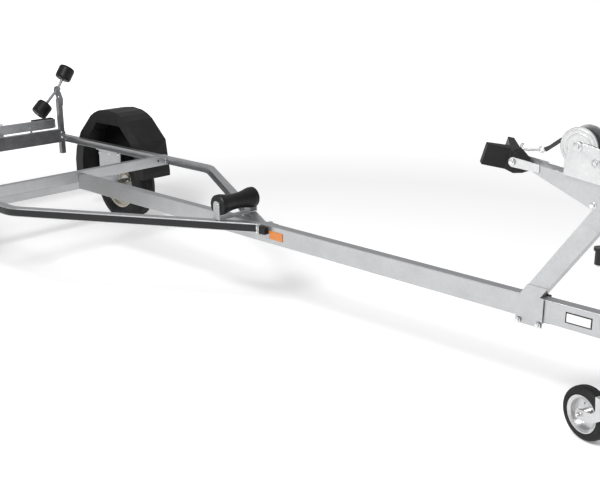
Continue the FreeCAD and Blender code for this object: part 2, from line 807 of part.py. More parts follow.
def make_support_post():
    outer = s.post_size + 2 * s.clamp_wall
    x, y = support_x(), support_y()
    post = tube_body("Sizes.post_size", "Sizes.post_size", "Sizes.post_wall",
                     "Sizes.post_top - Sizes.post_bottom")
    post.Placement = at(x, y, s.post_bottom, turned((0, 1, 0), -90))
    top = s.post_top
    half = s.post_size / 2
    points = [(y - half, top - 60), (y + half, top - 60), (y + half + 6, top - 5), (y + 8, top + 50),
              (s.pivot_y + 8, s.pivot_z + 24), (s.pivot_y - 18, s.pivot_z + 16),
              (s.pivot_y - 26, s.pivot_z - 14), (y - half - 14, top + 8)]
    head = plate_body(points, "Sizes.head_plate", role="YZ_Plane", offset=x + half)
    pin = rod("Sizes.rocker_radius", "Sizes.rocker_sleeve_length + 2 * Sizes.side_play + 6",
              (pivot_start(), s.pivot_y, s.pivot_z), (1, 0, 0))
    nut = rod("Sizes.rocker_sleeve_radius - 3", "6",
              (pivot_start() + s.rocker_sleeve_length + 2 * s.side_play, s.pivot_y, s.pivot_z), (1, 0, 0))
    support = keep(fused(post, head, pin, nut), "support_post_left")
    mirrored(support, "support_post_right")
    block = box("Sizes.post_size + 2 * Sizes.clamp_wall", "Sizes.post_size + 2 * Sizes.clamp_wall",
                "Sizes.clamp_tall", (x - outer / 2, y - outer / 2, -s.clamp_tall + 20))
    hole = box("Sizes.post_size", "Sizes.post_size", "Sizes.clamp_tall + 2",
               (x - half, y - half, -s.clamp_tall + 19))
    clamp = keep(cut(block, hole), "post_clamp_left")
    mirrored(clamp, "post_clamp_right")


def make_rocker():
    """Bent rod that rocks on the post's pin and carries a roller at each end."""
    x = rocker_x()
    centre = Vector(x, s.pivot_y, s.pivot_z)
    half = s.side_roller_long / 2
    upper, lower = [Vector(0, dy, dz) for dy, dz in roller_directions()]
    collars = []
    for direction, out in ((upper, s.upper_roller_out), (lower, s.lower_roller_out)):
        for place, thick in ((out - half - s.side_play - 5, "5"), (out + half + s.side_play, "7")):
            collars.append(rod("Sizes.rocker_radius + 5", thick, centre + direction * place, direction))
    arms = [rod("Sizes.rocker_radius", "Sizes.upper_roller_out + Sizes.side_roller_long / 2 + 8", centre, upper),
            rod("Sizes.rocker_radius", "Sizes.lower_roller_out + Sizes.side_roller_long / 2 + 8", centre, lower)]
    sleeve = rod("Sizes.rocker_sleeve_radius", "Sizes.rocker_sleeve_length",
                 (x - s.rocker_sleeve_length / 2, s.pivot_y, s.pivot_z), (1, 0, 0))
    bore = rod("Sizes.rocker_radius + Sizes.fit", "Sizes.rocker_sleeve_length + 2",
               (x - s.rocker_sleeve_length / 2 - 1, s.pivot_y, s.pivot_z), (1, 0, 0))
    rocker = keep(cut(fused(sleeve, *arms, *collars), bore), "rocker_left")
    mirrored(rocker, "rocker_right")


def side_roller_points():
    half = s.side_roller_long / 2
    edge = s.side_roller_round
    bore = s.rocker_radius + s.fit
    radius = s.side_roller_radius
    soft = edge * (1 - math.cos(math.radians(45)))
    upper = [(radius, 0), (radius, half - edge), (radius - soft, half - soft), (radius - edge, half), (bore, half)]
    lower = [(r, -place) for r, place in reversed(upper[1:])]
    return upper + lower


def side_roller_centre(end, sign):
    dy, dz = roller_directions()[end]
    out = (s.upper_roller_out, s.lower_roller_out)[end]
    return Vector(rocker_x(), sign * (s.pivot_y + dy * out), s.pivot_z + dz * out)


def make_side_rollers():
    for sign, side in ((1, "left"), (-1, "right")):
        for end, name in ((0, "upper"), (1, "lower")):
            dy, dz = roller_directions()[end]
            centre = side_roller_centre(end, sign)
            keep(revolved_body(side_roller_points()), "side_roller_%s_%s" % (name, side),
                 at(centre.x, centre.y, centre.z, along((0, sign * dy, dz))))


# Winch post and bow stop

def post_axis(height):
    """Middle of the leaning winch post at a height above the drawbar."""
    lean = math.radians(s.winch_post_lean)
    wide = s.winch_post_deep / math.cos(lean)
    start = s.post_foot_x + 13 + wide / 2
    return start + height * math.tan(lean)


def make_winch_post():
    lean = s.winch_post_lean
    low = tube_body("Sizes.winch_post_wide", "Sizes.winch_post_deep", "Sizes.winch_post_wall",
                    "Sizes.winch_post_length")
    turn = turned((0, 1, 0), -90 + lean)
    start_x = post_axis(0.0)
    sine = math.sin(math.radians(lean))
    cosine = math.cos(math.radians(lean))
    back = s.winch_post_deep / 2 * math.tan(math.radians(lean))
    low.Placement = at(start_x - back * sine, 0, -back * cosine, turn)
    trim = box("400", "200", "200", (start_x - 200, -100, -200))
    tube = cut(low, trim)
    foot_z = -s.drawbar_tall - s.post_foot_below
    front = s.post_foot_x + s.post_foot_long
    points = [(s.post_foot_x, foot_z), (front, foot_z), (front, 4), (start_x + 46, 4), (start_x + 76, 50),
              (start_x - 14, 50), (s.post_foot_x, -20)]
    cheeks = []
    for y in (-s.winch_post_wide / 2 - s.winch_post_wall, s.winch_post_wide / 2):
        cheeks.append(plate_body(points, "Sizes.winch_post_wall", offset=-y - s.winch_post_wall))
    spacers = []
    for x in (s.post_foot_x + 15, front - 15):
        spacers.append(rod("5", "Sizes.winch_post_wide + 2 * Sizes.winch_post_wall + 14",
                           (x, -s.winch_post_wide / 2 - s.winch_post_wall - 7, foot_z + 12), (0, 1, 0)))
    packers = []
    for y in (-s.winch_post_wide / 2, s.drawbar_wide / 2):
        packers.append(box("Sizes.post_foot_long - 20", "(Sizes.winch_post_wide - Sizes.drawbar_wide) / 2",
                           "60", (s.post_foot_x + 10, y, -80)))
    keep(fused(tube, *cheeks, *spacers, *packers), "winch_post")


def arm_top(x):
    """Height of the arm's top edge, which falls gently towards the front."""
    share = (x - s.arm_rear_x) / (s.arm_front_x - s.arm_rear_x)
    return s.arm_rear_top - share * s.arm_fall


def make_winch_arm():
    """Two tapered side plates that clasp the post's head, joined by a top plate."""
    rear, front = s.arm_rear_x, s.arm_front_x
    top = s.arm_rear_top
    points = [(rear, top - 32), (rear + 262, top - 144), (front, top - 152), (front, arm_top(front)),
              (rear, arm_top(rear))]
    outer = s.winch_post_wide / 2 + s.arm_plate
    plates = [plate_body(points, "Sizes.arm_plate", offset=outer - s.arm_plate),
              plate_body(points, "Sizes.arm_plate", offset=-outer)]
    slab = [(rear + 150, arm_top(rear + 150)), (rear + 150, arm_top(rear + 150) - s.arm_plate),
            (front, arm_top(front) - s.arm_plate), (front, arm_top(front))]
    lid = plate_body(slab, "Sizes.winch_post_wide", offset=-s.winch_post_wide / 2)
    keep(cut(fused(*plates, lid), post_cutter()), "winch_arm")


def post_cutter():
    """Space of the post's own tube, so that plates stop at its faces."""
    space = box("900", "Sizes.winch_post_wide", "Sizes.winch_post_deep",
                (0, -s.winch_post_wide / 2, -s.winch_post_deep / 2))
    turn = turned((0, 1, 0), -90 + s.winch_post_lean)
    space.Placement = at(post_axis(0.0), 0, 0, turn).multiply(
        at(0, -s.winch_post_wide / 2, -s.winch_post_deep / 2))
    return space


def bow_bolt():
    return s.arm_rear_x - s.bow_ear_long + 25, s.arm_rear_top - s.bow_bolt_below


def make_bow_stop():
    bolt_x, bolt_z = bow_bolt()
    half_tall = s.bow_ear_tall / 2
    front = s.arm_rear_x + 40
    front_z = s.arm_rear_top - 18
    inner = s.winch_post_wide / 2 + s.arm_plate
    ears = []
    for y in (-inner - s.bow_ear_plate, inner):
        points = [(bolt_x, bolt_z - half_tall), (front, front_z - half_tall + 4), (front, front_z + half_tall - 4),
                  (bolt_x, bolt_z + half_tall)]
        ears.append(plate_body(points, "Sizes.bow_ear_plate", offset=-y - s.bow_ear_plate))
        ears.append(rod("Sizes.bow_ear_tall / 2", "Sizes.bow_ear_plate", (bolt_x, y, bolt_z), (0, 1, 0)))
    reach = inner + s.bow_ear_plate
    ears.append(rod("6", "Sizes.winch_post_wide + 2 * Sizes.arm_plate + 2 * Sizes.bow_ear_plate + 16",
                    (bolt_x, -reach - 8, bolt_z), (0, 1, 0)))
    keep(fused(*ears), "bow_stop_bracket")
    spread = s.bow_half_spread
    apex = inner - s.seat_gap
    half = s.bow_tall / 2
    plan = [(52, -apex), (52, apex), (-28, apex), (-98, spread), (-118, spread - 18), (-56, 0),
            (-118, -spread + 18), (-98, -spread), (-28, -apex)]
    profile = [(-125, -half), (12, -half), (52, -half + 20), (52, 12), (-20, half), (-125, half)]
    prism = plate_body(plan, "Sizes.bow_tall", role="XY_Plane", offset=-half)
    slice_side = plate_body(profile, "2 * Sizes.bow_half_spread", offset=-spread)
    block = document.addObject("Part::MultiCommon", "Block")
    block.Shapes = [prism, slice_side]
    block.Placement = at(bolt_x, 0, bolt_z, turned((0, 1, 0), s.bow_lean))
    hole = rod("6 + Sizes.fit", "Sizes.winch_post_wide + 40", (bolt_x, -apex - 10, bolt_z), (0, 1, 0))
    keep(cut(block, hole), "bow_stop")


# Winch

def make_winch_frame():
    """Two side plates on a base, each with bores for the drum's and the crank's shafts."""
    foot = s.drum_x - s.winch_foot_back
    front = s.drum_x + s.winch_foot_front
    points = [(foot, arm_top(foot)), (front, arm_top(front)), (front, s.crank_z + 10),
              (s.crank_x + 28, s.drum_z - 1), (s.drum_x + 22, s.drum_z + 16), (s.drum_x - 22, s.drum_z + 12),
              (foot, s.crank_z)]
    holes = [((s.drum_x, s.drum_z), "Sizes.drum_shaft_radius + Sizes.fit"),
             ((s.crank_x, s.crank_z), "Sizes.crank_shaft_radius + Sizes.fit")]
    plates = []
    for y in (-s.winch_plate_y - s.winch_plate, s.winch_plate_y):
        plates.append(plate_body(points, "Sizes.winch_plate", offset=-y - s.winch_plate, holes=holes))
    slab = [(foot, arm_top(foot)), (front, arm_top(front)), (front, arm_top(front) + s.winch_plate),
            (foot, arm_top(foot) + s.winch_plate)]
    base = plate_body(slab, "2 * Sizes.winch_plate_y", offset=-s.winch_plate_y)
    keep(fused(base, *plates), "winch_frame")


def make_drum():
    """Spool of two flanges on a core, with the strap wound between them."""
    half = s.drum_half_wide
    reach = s.winch_plate_y + s.winch_plate + 8
    points = [(0, -reach), (s.drum_shaft_radius, -reach), (s.drum_shaft_radius, -half - 3),
              (s.flange_radius - 3, -half - 3), (s.flange_radius, -half), (s.flange_radius - 3, -half + 3),
              (s.drum_core_radius, -half + 3), (s.drum_core_radius, half - 3),
              (s.flange_radius - 3, half - 3), (s.flange_radius, half), (s.flange_radius - 3, half + 3),
              (s.drum_shaft_radius, half + 3), (s.drum_shaft_radius, reach), (0, reach)]
    place = at(s.drum_x, 0, s.drum_z, turned((1, 0, 0), 90))
    keep(revolved_body(points), "winch_drum", place)
    wide = s.strap_wide / 2
    inner = s.drum_core_radius + s.seat_gap
    keep(revolved_body([(inner, -wide), (s.strap_wound_radius, -wide), (s.strap_wound_radius, wide),
                        (inner, wide)]), "wound_strap", place)


def strap_line():
    """Side view of the strap from the drum's back to the hook's eye."""
    angle = math.radians(128)
    radius = s.strap_wound_radius + s.seat_gap + s.strap_thick
    leave = (s.drum_x + radius * math.cos(angle), s.drum_z + radius * math.sin(angle))
    return leave, (s.drum_x - 132, s.drum_z - 21), (s.drum_x - 157, s.drum_z - 36)


def make_strap_run():
    leave, knee, end = strap_line()
    thick = s.strap_thick
    points = [leave, knee, end, (end[0] + 1, end[1] - thick), (knee[0] + 2, knee[1] - thick),
              (leave[0] + thick * 0.8, leave[1] - thick * 0.6)]
    keep(plate_body(points, "Sizes.strap_wide", offset=-s.strap_wide / 2), "strap_run")
    eye = (end[0] - 14.4, end[1] - 3)
    ring = document.addObject("Part::Torus", "Eye")
    bind(ring, Radius1="11", Radius2="3.5")
    ring.Placement = at(eye[0], 0, eye[1], turned((1, 0, 0), 90))
    shank = bent_rod([(eye[0] - 9, 0, eye[1] - 2), (eye[0] - 50, 0, eye[1] - 8), (eye[0] - 80, 0, eye[1] - 8),
                      (eye[0] - 92, 0, eye[1] + 4), (eye[0] - 82, 0, eye[1] + 14)], 6, 4.5)
    keep(fused(ring, shank), "snap_hook")


def make_winch_crank():
    """Crank on the left side of the winch, pointing forward and down."""
    inner = s.winch_plate_y
    shaft = rod("Sizes.crank_shaft_radius", "2 * Sizes.winch_plate_y + 48",
                (0, -inner - 12, 0), (0, 1, 0))
    arm = box("Sizes.crank_long", "8", "26", (-13, inner + 26, -13))
    grip = rod("14", "95", (s.crank_long - 30, inner + 34, 0), (0, 1, 0))
    turn = turned((0, 1, 0), 20)
    keep(fused(shaft, arm, grip), "winch_crank", at(s.crank_x, 0, s.crank_z, turn))


# Jockey wheel

def make_jockey_clamp():
    """Plate bolted to the drawbar's right side with a split collar round the tube."""
    side = s.drawbar_wide / 2
    half = s.clamp_half_tall
    collar_radius = s.jockey_tube_radius + 8
    plate = box("150", "8", "2 * Sizes.clamp_half_tall", (s.jockey_x - 75, -side - 8, -half - 50))
    collar = rod("Sizes.jockey_tube_radius + 8", "2 * Sizes.clamp_half_tall - 20",
                 (s.jockey_x, s.jockey_y, -half - 40))
    lug = box("46", "18", "2 * Sizes.clamp_half_tall - 20",
              (s.jockey_x - 23, s.jockey_y - collar_radius - 8, -half - 40))
    web = box("56", "-Sizes.jockey_y - Sizes.drawbar_wide / 2", "2 * Sizes.clamp_half_tall - 20",
              (s.jockey_x - 28, s.jockey_y, -half - 40))
    bore = rod("Sizes.jockey_tube_radius + Sizes.fit", "2 * Sizes.clamp_half_tall + 40",
               (s.jockey_x, s.jockey_y, -half - 70))
    keep(cut(fused(plate, collar, lug, web), bore), "jockey_clamp")


def make_jockey_tubes():
    outer = rod("Sizes.jockey_tube_radius", "Sizes.jockey_tube_top - Sizes.jockey_tube_bottom",
                (s.jockey_x, s.jockey_y, s.jockey_tube_bottom))
    inside = rod("Sizes.jockey_tube_radius - Sizes.jockey_tube_wall",
                 "Sizes.jockey_tube_top - Sizes.jockey_tube_bottom - 6",
                 (s.jockey_x, s.jockey_y, s.jockey_tube_bottom - 1))
    keep(cut(outer, inside), "jockey_outer_tube")
    radius = "Sizes.jockey_tube_radius - Sizes.jockey_tube_wall - Sizes.fit"
    length = "260"
    shaft = rod(radius, length, (s.jockey_x, s.jockey_y, s.jockey_head_z))
    hollow = rod(radius + " - Sizes.jockey_inner_wall", length, (s.jockey_x, s.jockey_y, s.jockey_head_z + 6))
    seat = rod("10 + Sizes.fit", "10", (s.jockey_x, s.jockey_y, s.jockey_head_z - 2))
    keep(cut(shaft, hollow, seat), "jockey_inner_tube")


def jockey_wheel_centre():
    turn = math.radians(s.jockey_turn)
    return Vector(s.jockey_x - s.jockey_trail * math.cos(turn),
                  s.jockey_y + s.jockey_trail * math.sin(turn), -s.jockey_below)


def jockey_frame():
    """Swivel's own frame: +X the way the wheel rolls, zero on the swivel axis at axle height."""
    return at(s.jockey_x, s.jockey_y, -s.jockey_below, turned((0, 0, 1), -s.jockey_turn))


def make_fork():
    top = s.jockey_head_z + s.jockey_below - s.side_play
    inner = s.jockey_wheel_wide / 2 + 6
    trail = s.jockey_trail
    half = s.fork_arm_tall / 2
    crown = box("72", "2 * (Sizes.jockey_wheel_wide / 2 + 6 + Sizes.fork_plate)", "Sizes.fork_plate",
                (-26, -inner - s.fork_plate, top - s.fork_plate))
    kingpin = rod("10", "Sizes.side_play + 12", (0, 0, top - 1))
    washer = rod("15", "4", (0, 0, top + s.side_play * 2 + 6))
    pieces = [crown, kingpin, washer]
    points = [(-trail, -half), (-30, -half + 16), (46, top - 60), (46, top), (-26, top),
              (-20, top - 60), (-40, half + 12), (-trail, half)]
    for y in (-inner - s.fork_plate, inner):
        pieces.append(plate_body(points, "Sizes.fork_plate", offset=-y - s.fork_plate))
        pieces.append(rod("Sizes.fork_arm_tall / 2", "Sizes.fork_plate", (-trail, y, 0), (0, 1, 0)))
    reach = inner + s.fork_plate + 8
    pieces.append(rod("Sizes.jockey_axle_radius", "2 * (Sizes.jockey_wheel_wide / 2 + 14 + Sizes.fork_plate)",
                      (-trail, -reach, 0), (0, 1, 0)))
    keep(fused(*pieces), "jockey_fork", jockey_frame())


def make_jockey_wheel():
    half = s.jockey_wheel_wide / 2
    rim = s.jockey_rim_radius
    bore = s.jockey_axle_radius + s.fit
    hub = half + 6 - s.side_play
    rim_outline = [(bore, -hub), (20, -hub), (20, -6), (rim - 16, -6), (rim - 14, -half + 6), (rim - 4, -half),
                   (rim, -half), (rim, -half + 4), (rim - 8, -half + 10), (rim - 8, half - 10), (rim, half - 4),
                   (rim, half), (rim - 4, half), (rim - 14, half - 6), (rim - 16, 6), (20, 6), (20, hub),
                   (bore, hub)]
    seat = rim - 8 + s.seat_gap
    radius = s.jockey_wheel_radius
    tyre_outline = [(seat, -half + 11), (seat, half - 11), (rim + 0.5, half - 3.5), (rim + 4, half),
                    (radius - 14, half), (radius - 5, half - 6), (radius, half - 18), (radius, -half + 18),
                    (radius - 5, -half + 6), (radius - 14, -half), (rim + 4, -half), (rim + 0.5, -half + 3.5)]
    centre = jockey_wheel_centre()
    facing = turned((0, 0, 1), -s.jockey_turn).multiply(turned((1, 0, 0), 90))
    place = at(centre.x, centre.y, centre.z, facing)
    keep(revolved_body(rim_outline), "jockey_rim", place)
    keep(revolved_body(tyre_outline), "jockey_tyre", place)


def make_jockey_crank():
    """Crank on top of the tube, with a standing grip at its end."""
    top = s.jockey_tube_top
    arm_z = top + 15
    neck = rod("12", "22", (0, 0, top))
    arm = box("Sizes.crank_arm + 12", "20", "8", (-6, -10, arm_z))
    knob = rod("Sizes.crank_knob_radius", "Sizes.crank_knob_tall", (s.crank_arm, 0, arm_z + 8))
    cap = rod("Sizes.crank_knob_radius + 6", "12", (s.crank_arm, 0, arm_z + s.crank_knob_tall))
    keep(fused(neck, arm, knob, cap), "jockey_crank",
         at(s.jockey_x, s.jockey_y, 0, turned((0, 0, 1), 213)))


# Coupling

def make_coupling():
    """Hollow pressed head bolted over the drawbar's end, with its ball socket below the nose."""
    rear = s.drawbar_length - s.coupling_overlap
    half = s.coupling_wide / 2
    wall = s.coupling_wall
    nose = s.coupling_long
    shell = box("Sizes.coupling_long - Sizes.coupling_wide / 2", "Sizes.coupling_wide", "Sizes.coupling_tall",
                (0, -half, 0))
    bow = rod("Sizes.coupling_wide / 2", "Sizes.coupling_tall", (nose - half, 0, 0))
    hollow = box("Sizes.coupling_long - Sizes.coupling_wide / 2 - Sizes.ball_radius - Sizes.coupling_wall",
                 "Sizes.coupling_wide - 2 * Sizes.coupling_wall",
                 "Sizes.coupling_tall", (-1, -half + wall, -wall))
    socket = rod("Sizes.ball_radius", "Sizes.coupling_tall", (nose - half, 0, -wall))
    base = box("Sizes.coupling_overlap - 10", "Sizes.coupling_wide + 20", "Sizes.coupling_wall",
               (5, -half - 10, 0))
    pin_z = s.coupling_tall + 10
    bar = box("Sizes.coupling_lever_long", "24", "8", (-s.coupling_lever_long, -12, pin_z - 4))
    eye = rod("10", "24", (0, -12, pin_z), (0, 1, 0))
    bore = rod("5 + Sizes.fit", "40", (0, -20, pin_z), (0, 1, 0))
    pivot = s.drawbar_length + 70
    keep(cut(fused(bar, eye), bore), "coupling_lever", at(pivot, 0, 0))
    ears = []
    for y in (-12.5 - 5, 12.5):
        ears.append(box("24", "5", "18", (pivot - rear - 12, y, s.coupling_tall)))
    ears.append(rod("5", "39", (pivot - rear, -19.5, pin_z), (0, 1, 0)))
    head = fused(cut(fused(shell, bow), hollow, socket), base, *ears)
    keep(head, "coupling_head", at(rear, 0, 0))


# Trim

def make_trim():
    side = s.drawbar_wide / 2
    middle = -s.drawbar_tall / 2
    reflectors = []
    for y in (-side - s.reflector_thick, side):
        reflectors.append(box("Sizes.reflector_long", "Sizes.reflector_thick", "Sizes.reflector_tall",
                              (s.reflector_x - s.reflector_long / 2, y, middle - s.reflector_tall / 2)))
    keep(group(*reflectors), "side_reflectors")


def make_trailer():
    make_drawbar()
    make_rails()
    make_cross_members()
    make_rail_ends()
    make_light_board()
    make_axle()
    make_swing_arm()
    make_wheels()
    make_mudguard()
    make_keel_rollers()
    make_support_post()
    make_rocker()
    make_side_rollers()
    make_winch_post()
    make_winch_arm()
    make_bow_stop()
    make_winch_frame()
    make_drum()
    make_strap_run()
    make_winch_crank()
    make_jockey_clamp()
    make_jockey_tubes()
    make_fork()
    make_jockey_wheel()
    make_jockey_crank()
    make_coupling()
    make_trim()
    document.recompute()


# Stance

def nose_down():
    """Angle at which tyre and jockey wheel both touch the floor, in degrees."""
    jockey = jockey_wheel_centre()
    run = jockey.x - s.wheel_x
    rise = s.wheel_below - s.jockey_below
    reach = math.hypot(run, rise)
    slope = math.atan2(rise, run)
    return math.degrees(math.asin((s.tyre_radius - s.jockey_wheel_radius) / reach) + slope)


def stance():
    """Placement that leans the trailer onto its wheels, before it is centred."""
    lean = turned((0, 1, 0), nose_down())
    axle = lean.multVec(Vector(s.wheel_x, 0, -s.wheel_below))
    return at(0, 0, s.tyre_radius - axle.z, lean)


def centred_stance(base):
    """The same, moved along X so that the zero is below the middle of its length."""
    bounds = FreeCAD.BoundBox()
    for thing in sub_parts:
        shape = thing.Shape.copy()
        shape.Placement = base.multiply(shape.Placement)
        bounds.add(shape.optimalBoundingBox(False))
    return at(-bounds.Center.x, 0, 0).multiply(base)


def is_mirror(thing):
    """A mirrored sub-part follows the one it mirrors, and isn't placed again."""
    return thing.TypeId == "Part::Mirroring"


def stand_up():
    placement = centred_stance(stance())
    for thing in sub_parts:
        if not is_mirror(thing):
            thing.Placement = placement.multiply(thing.Placement)
    document.recompute()
    return placement


def check_and_write():
    os.makedirs("parts", exist_ok=True)
    for thing in document.Objects:
        if "Invalid" in thing.State or "Error" in thing.State:
            raise RuntimeError("failed feature: %s of %s" % (thing.Name, thing.Label))
    for thing in sub_parts:
        if thing.Shape.isNull() or not thing.Shape.isValid() or thing.Shape.Volume <= 0:
            raise RuntimeError("bad shape: " + thing.Label)
    for thing in sub_parts:
        thing.Shape.exportStep("parts/%s.step" % thing.Label)


make_trailer()
final_stance = stand_up()
check_and_write()
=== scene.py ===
import json
import math

import bmesh
import bpy
from mathutils import Matrix, Vector


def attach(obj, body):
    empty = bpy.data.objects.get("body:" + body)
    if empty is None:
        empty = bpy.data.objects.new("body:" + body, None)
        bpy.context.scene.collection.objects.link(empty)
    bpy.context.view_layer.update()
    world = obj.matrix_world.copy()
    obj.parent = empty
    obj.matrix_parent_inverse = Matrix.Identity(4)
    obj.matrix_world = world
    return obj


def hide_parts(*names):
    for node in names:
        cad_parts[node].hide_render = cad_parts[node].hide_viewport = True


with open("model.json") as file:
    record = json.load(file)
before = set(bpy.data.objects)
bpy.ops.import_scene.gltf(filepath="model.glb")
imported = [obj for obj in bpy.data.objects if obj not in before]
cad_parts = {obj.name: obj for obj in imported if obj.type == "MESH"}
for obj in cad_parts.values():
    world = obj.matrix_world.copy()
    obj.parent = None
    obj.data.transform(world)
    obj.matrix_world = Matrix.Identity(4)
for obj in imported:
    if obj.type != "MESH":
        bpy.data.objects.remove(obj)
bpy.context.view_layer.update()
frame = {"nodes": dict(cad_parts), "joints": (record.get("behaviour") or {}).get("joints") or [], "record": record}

# The looks of a boat trailer. Pieces are built in the trailer's own level frame,
# in metres: x from the middle cross-member towards the coupling, y to the left,
# z up from the drawbar's top. STAND leans that frame onto the wheels.

JOINTS = {joint["name"]: joint for joint in frame["joints"]}
SIDES = ((1, "left"), (-1, "right"))
UP, DOWN = (0, 0, 1), (0, 0, -1)
AHEAD, BACK = (1, 0, 0), (-1, 0, 0)
OUTWARD, INWARD = (0, 1, 0), (0, -1, 0)

WHEEL = Vector((-0.830, 0.945, -0.360))
DRAWBAR_SIDE = 0.025
RAIL_SIDE = 0.800
RAIL_REAR_X = -0.300
RAIL_CORNER_X = 0.450
RAIL_END_X = 1.780
RAIL_BEND_RADIUS = 0.220
RAIL_MIDDLE_Z = -0.031
BRACKET_SIDE = 0.778
REAR_POST_X = -1.505
LIGHT_BOARD_X = -1.556
LAMP_Y = 0.640
FRONT_KEEL_X = 1.560
REAR_KEEL_X = -1.460
REAR_KEEL_Z = 0.040
DRUM = Vector((3.536, 0, 0.643))
CRANK = Vector((3.612, 0, 0.590))
JOCKEY = Vector((3.765, -0.085, 0))
JOCKEY_TRAIL = 0.100
JOCKEY_DROP = 0.412
JOCKEY_TURN = math.radians(20)
CHANNEL_FLOOR = 0.0045
GRIP_FOOT = 0.2352
CRANK_GRIP_Y = 0.0845

# Camera in the row frame, and how strongly the floor is lifted to white near the object and far from it.

CAMERA_PLACE = (3.7849, -3.1756, 1.7733)
CAMERA_TURN = ((0.683431, -0.161908, 0.711834),
               (0.728971, 0.203498, -0.653598),
               (-0.039034, 0.965595, 0.257103))
FOCAL_PIXELS = 877.96
PICTURE_WIDTH = 600.0
SENSOR_WIDTH = 36.0
CAMERA_SHIFT = (0.09, -0.03417)
FLOOR_LIFT = 0.17
FAR_FLOOR_LIFT = 0.8
LIFT_FROM, LIFT_TO = 3.6, 9.0


def standing():
    """The trailer's own frame as it stands, read from the joints' places."""
    up = Vector(JOINTS["jockey_slide"]["axis"])
    turn = Matrix.Rotation(math.atan2(up.x, up.z), 4, "Y")
    wheel = Vector(JOINTS["wheel_left_spin"]["pos_m"])
    return Matrix.Translation(wheel - turn.to_3x3() @ WHEEL) @ turn


STAND = standing()


# Materials

def new_material(name):
    material = bpy.data.materials.new(name)
    material.use_nodes = True
    return material, material.node_tree, material.node_tree.nodes["Principled BSDF"]


def coordinates(tree, scale=1.0):
    place = tree.nodes.new("ShaderNodeTexCoord")
    mapping = tree.nodes.new("ShaderNodeMapping")
    mapping.inputs["Scale"].default_value = (scale, scale, scale)
    tree.links.new(place.outputs["Object"], mapping.inputs["Vector"])
    return mapping.outputs["Vector"]


def noise(tree, scale, detail=4.0, rough=0.55, vector=None):
    node = tree.nodes.new("ShaderNodeTexNoise")
    node.inputs["Scale"].default_value = scale
    node.inputs["Detail"].default_value = detail
    node.inputs["Roughness"].default_value = rough
    tree.links.new(vector or coordinates(tree), node.inputs["Vector"])
    return node.outputs["Fac"]


def ramp(tree, value, stops):
    node = tree.nodes.new("ShaderNodeValToRGB")
    points = node.color_ramp.elements
    while len(points) < len(stops):
        points.new(0.5)
    for point, (position, colour) in zip(points, stops):
        point.position = position
        point.color = (*colour, 1.0)
    tree.links.new(value, node.inputs["Fac"])
    return node.outputs["Color"]


def span(tree, value, low, high):
    node = tree.nodes.new("ShaderNodeMapRange")
    node.inputs["To Min"].default_value = low
    node.inputs["To Max"].default_value = high
    tree.links.new(value, node.inputs["Value"])
    return node.outputs["Result"]


def bump(tree, shader, height, distance, strength=0.5):
    node = tree.nodes.new("ShaderNodeBump")
    node.inputs["Strength"].default_value = strength
    node.inputs["Distance"].default_value = distance
    tree.links.new(height, node.inputs["Height"])
    tree.links.new(node.outputs["Normal"], shader.inputs["Normal"])


def blend_colours(tree, first, second, factor):
    node = tree.nodes.new("ShaderNodeMix")
    node.data_type = "RGBA"
    node.inputs["Factor"].default_value = factor
    tree.links.new(first, node.inputs["A"])
    tree.links.new(second, node.inputs["B"])
    return node.outputs["Result"]


def metal(name, dark, light, rough_low, rough_high, metallic, spangle=90.0):
    """Zinc-coated steel: large soft blotches under small crystals, with uneven gloss."""
    material, tree, shader = new_material(name)
    shader.inputs["Metallic"].default_value = metallic
    blotch = ramp(tree, noise(tree, 9.0, 5.0), [(0.3, dark), (0.7, light)])
    cells = tree.nodes.new("ShaderNodeTexVoronoi")
    cells.inputs["Scale"].default_value = spangle
    tree.links.new(coordinates(tree), cells.inputs["Vector"])
    grey = tree.nodes.new("ShaderNodeRGBToBW")
    tree.links.new(cells.outputs["Color"], grey.inputs["Color"])
    flakes = ramp(tree, grey.outputs["Val"], [(0.2, dark), (0.8, light)])
    tree.links.new(blend_colours(tree, blotch, flakes, 0.35), shader.inputs["Base Color"])
    roughness = span(tree, noise(tree, 22.0, 6.0), rough_low, rough_high)
    tree.links.new(roughness, shader.inputs["Roughness"])
    bump(tree, shader, noise(tree, 140.0, 3.0), 0.0004, 0.25)
    return material


def rubber(name, dark, light, rough_low, rough_high, grain=260.0, depth=0.0004):
    """Black rubber or plastic with a dusty bloom and a fine grain."""
    material, tree, shader = new_material(name)
    tree.links.new(ramp(tree, noise(tree, 11.0, 6.0), [(0.35, dark), (0.75, light)]),
                   shader.inputs["Base Color"])
    tree.links.new(span(tree, noise(tree, 30.0, 4.0), rough_low, rough_high), shader.inputs["Roughness"])
    shader.inputs["Specular IOR Level"].default_value = 0.28
    bump(tree, shader, noise(tree, grain, 2.0), depth, 0.4)
    return material


def lens(name, dark, light, pitch):
    """Coloured plastic over small prisms."""
    material, tree, shader = new_material(name)
    cells = tree.nodes.new("ShaderNodeTexVoronoi")
    cells.inputs["Scale"].default_value = pitch
    tree.links.new(coordinates(tree), cells.inputs["Vector"])
    tree.links.new(ramp(tree, cells.outputs["Distance"], [(0.0, light), (0.8, dark)]),
                   shader.inputs["Base Color"])
    shader.inputs["Roughness"].default_value = 0.18
    shader.inputs["Coat Weight"].default_value = 0.5
    bump(tree, shader, cells.outputs["Distance"], 0.0008, 0.4)
    return material


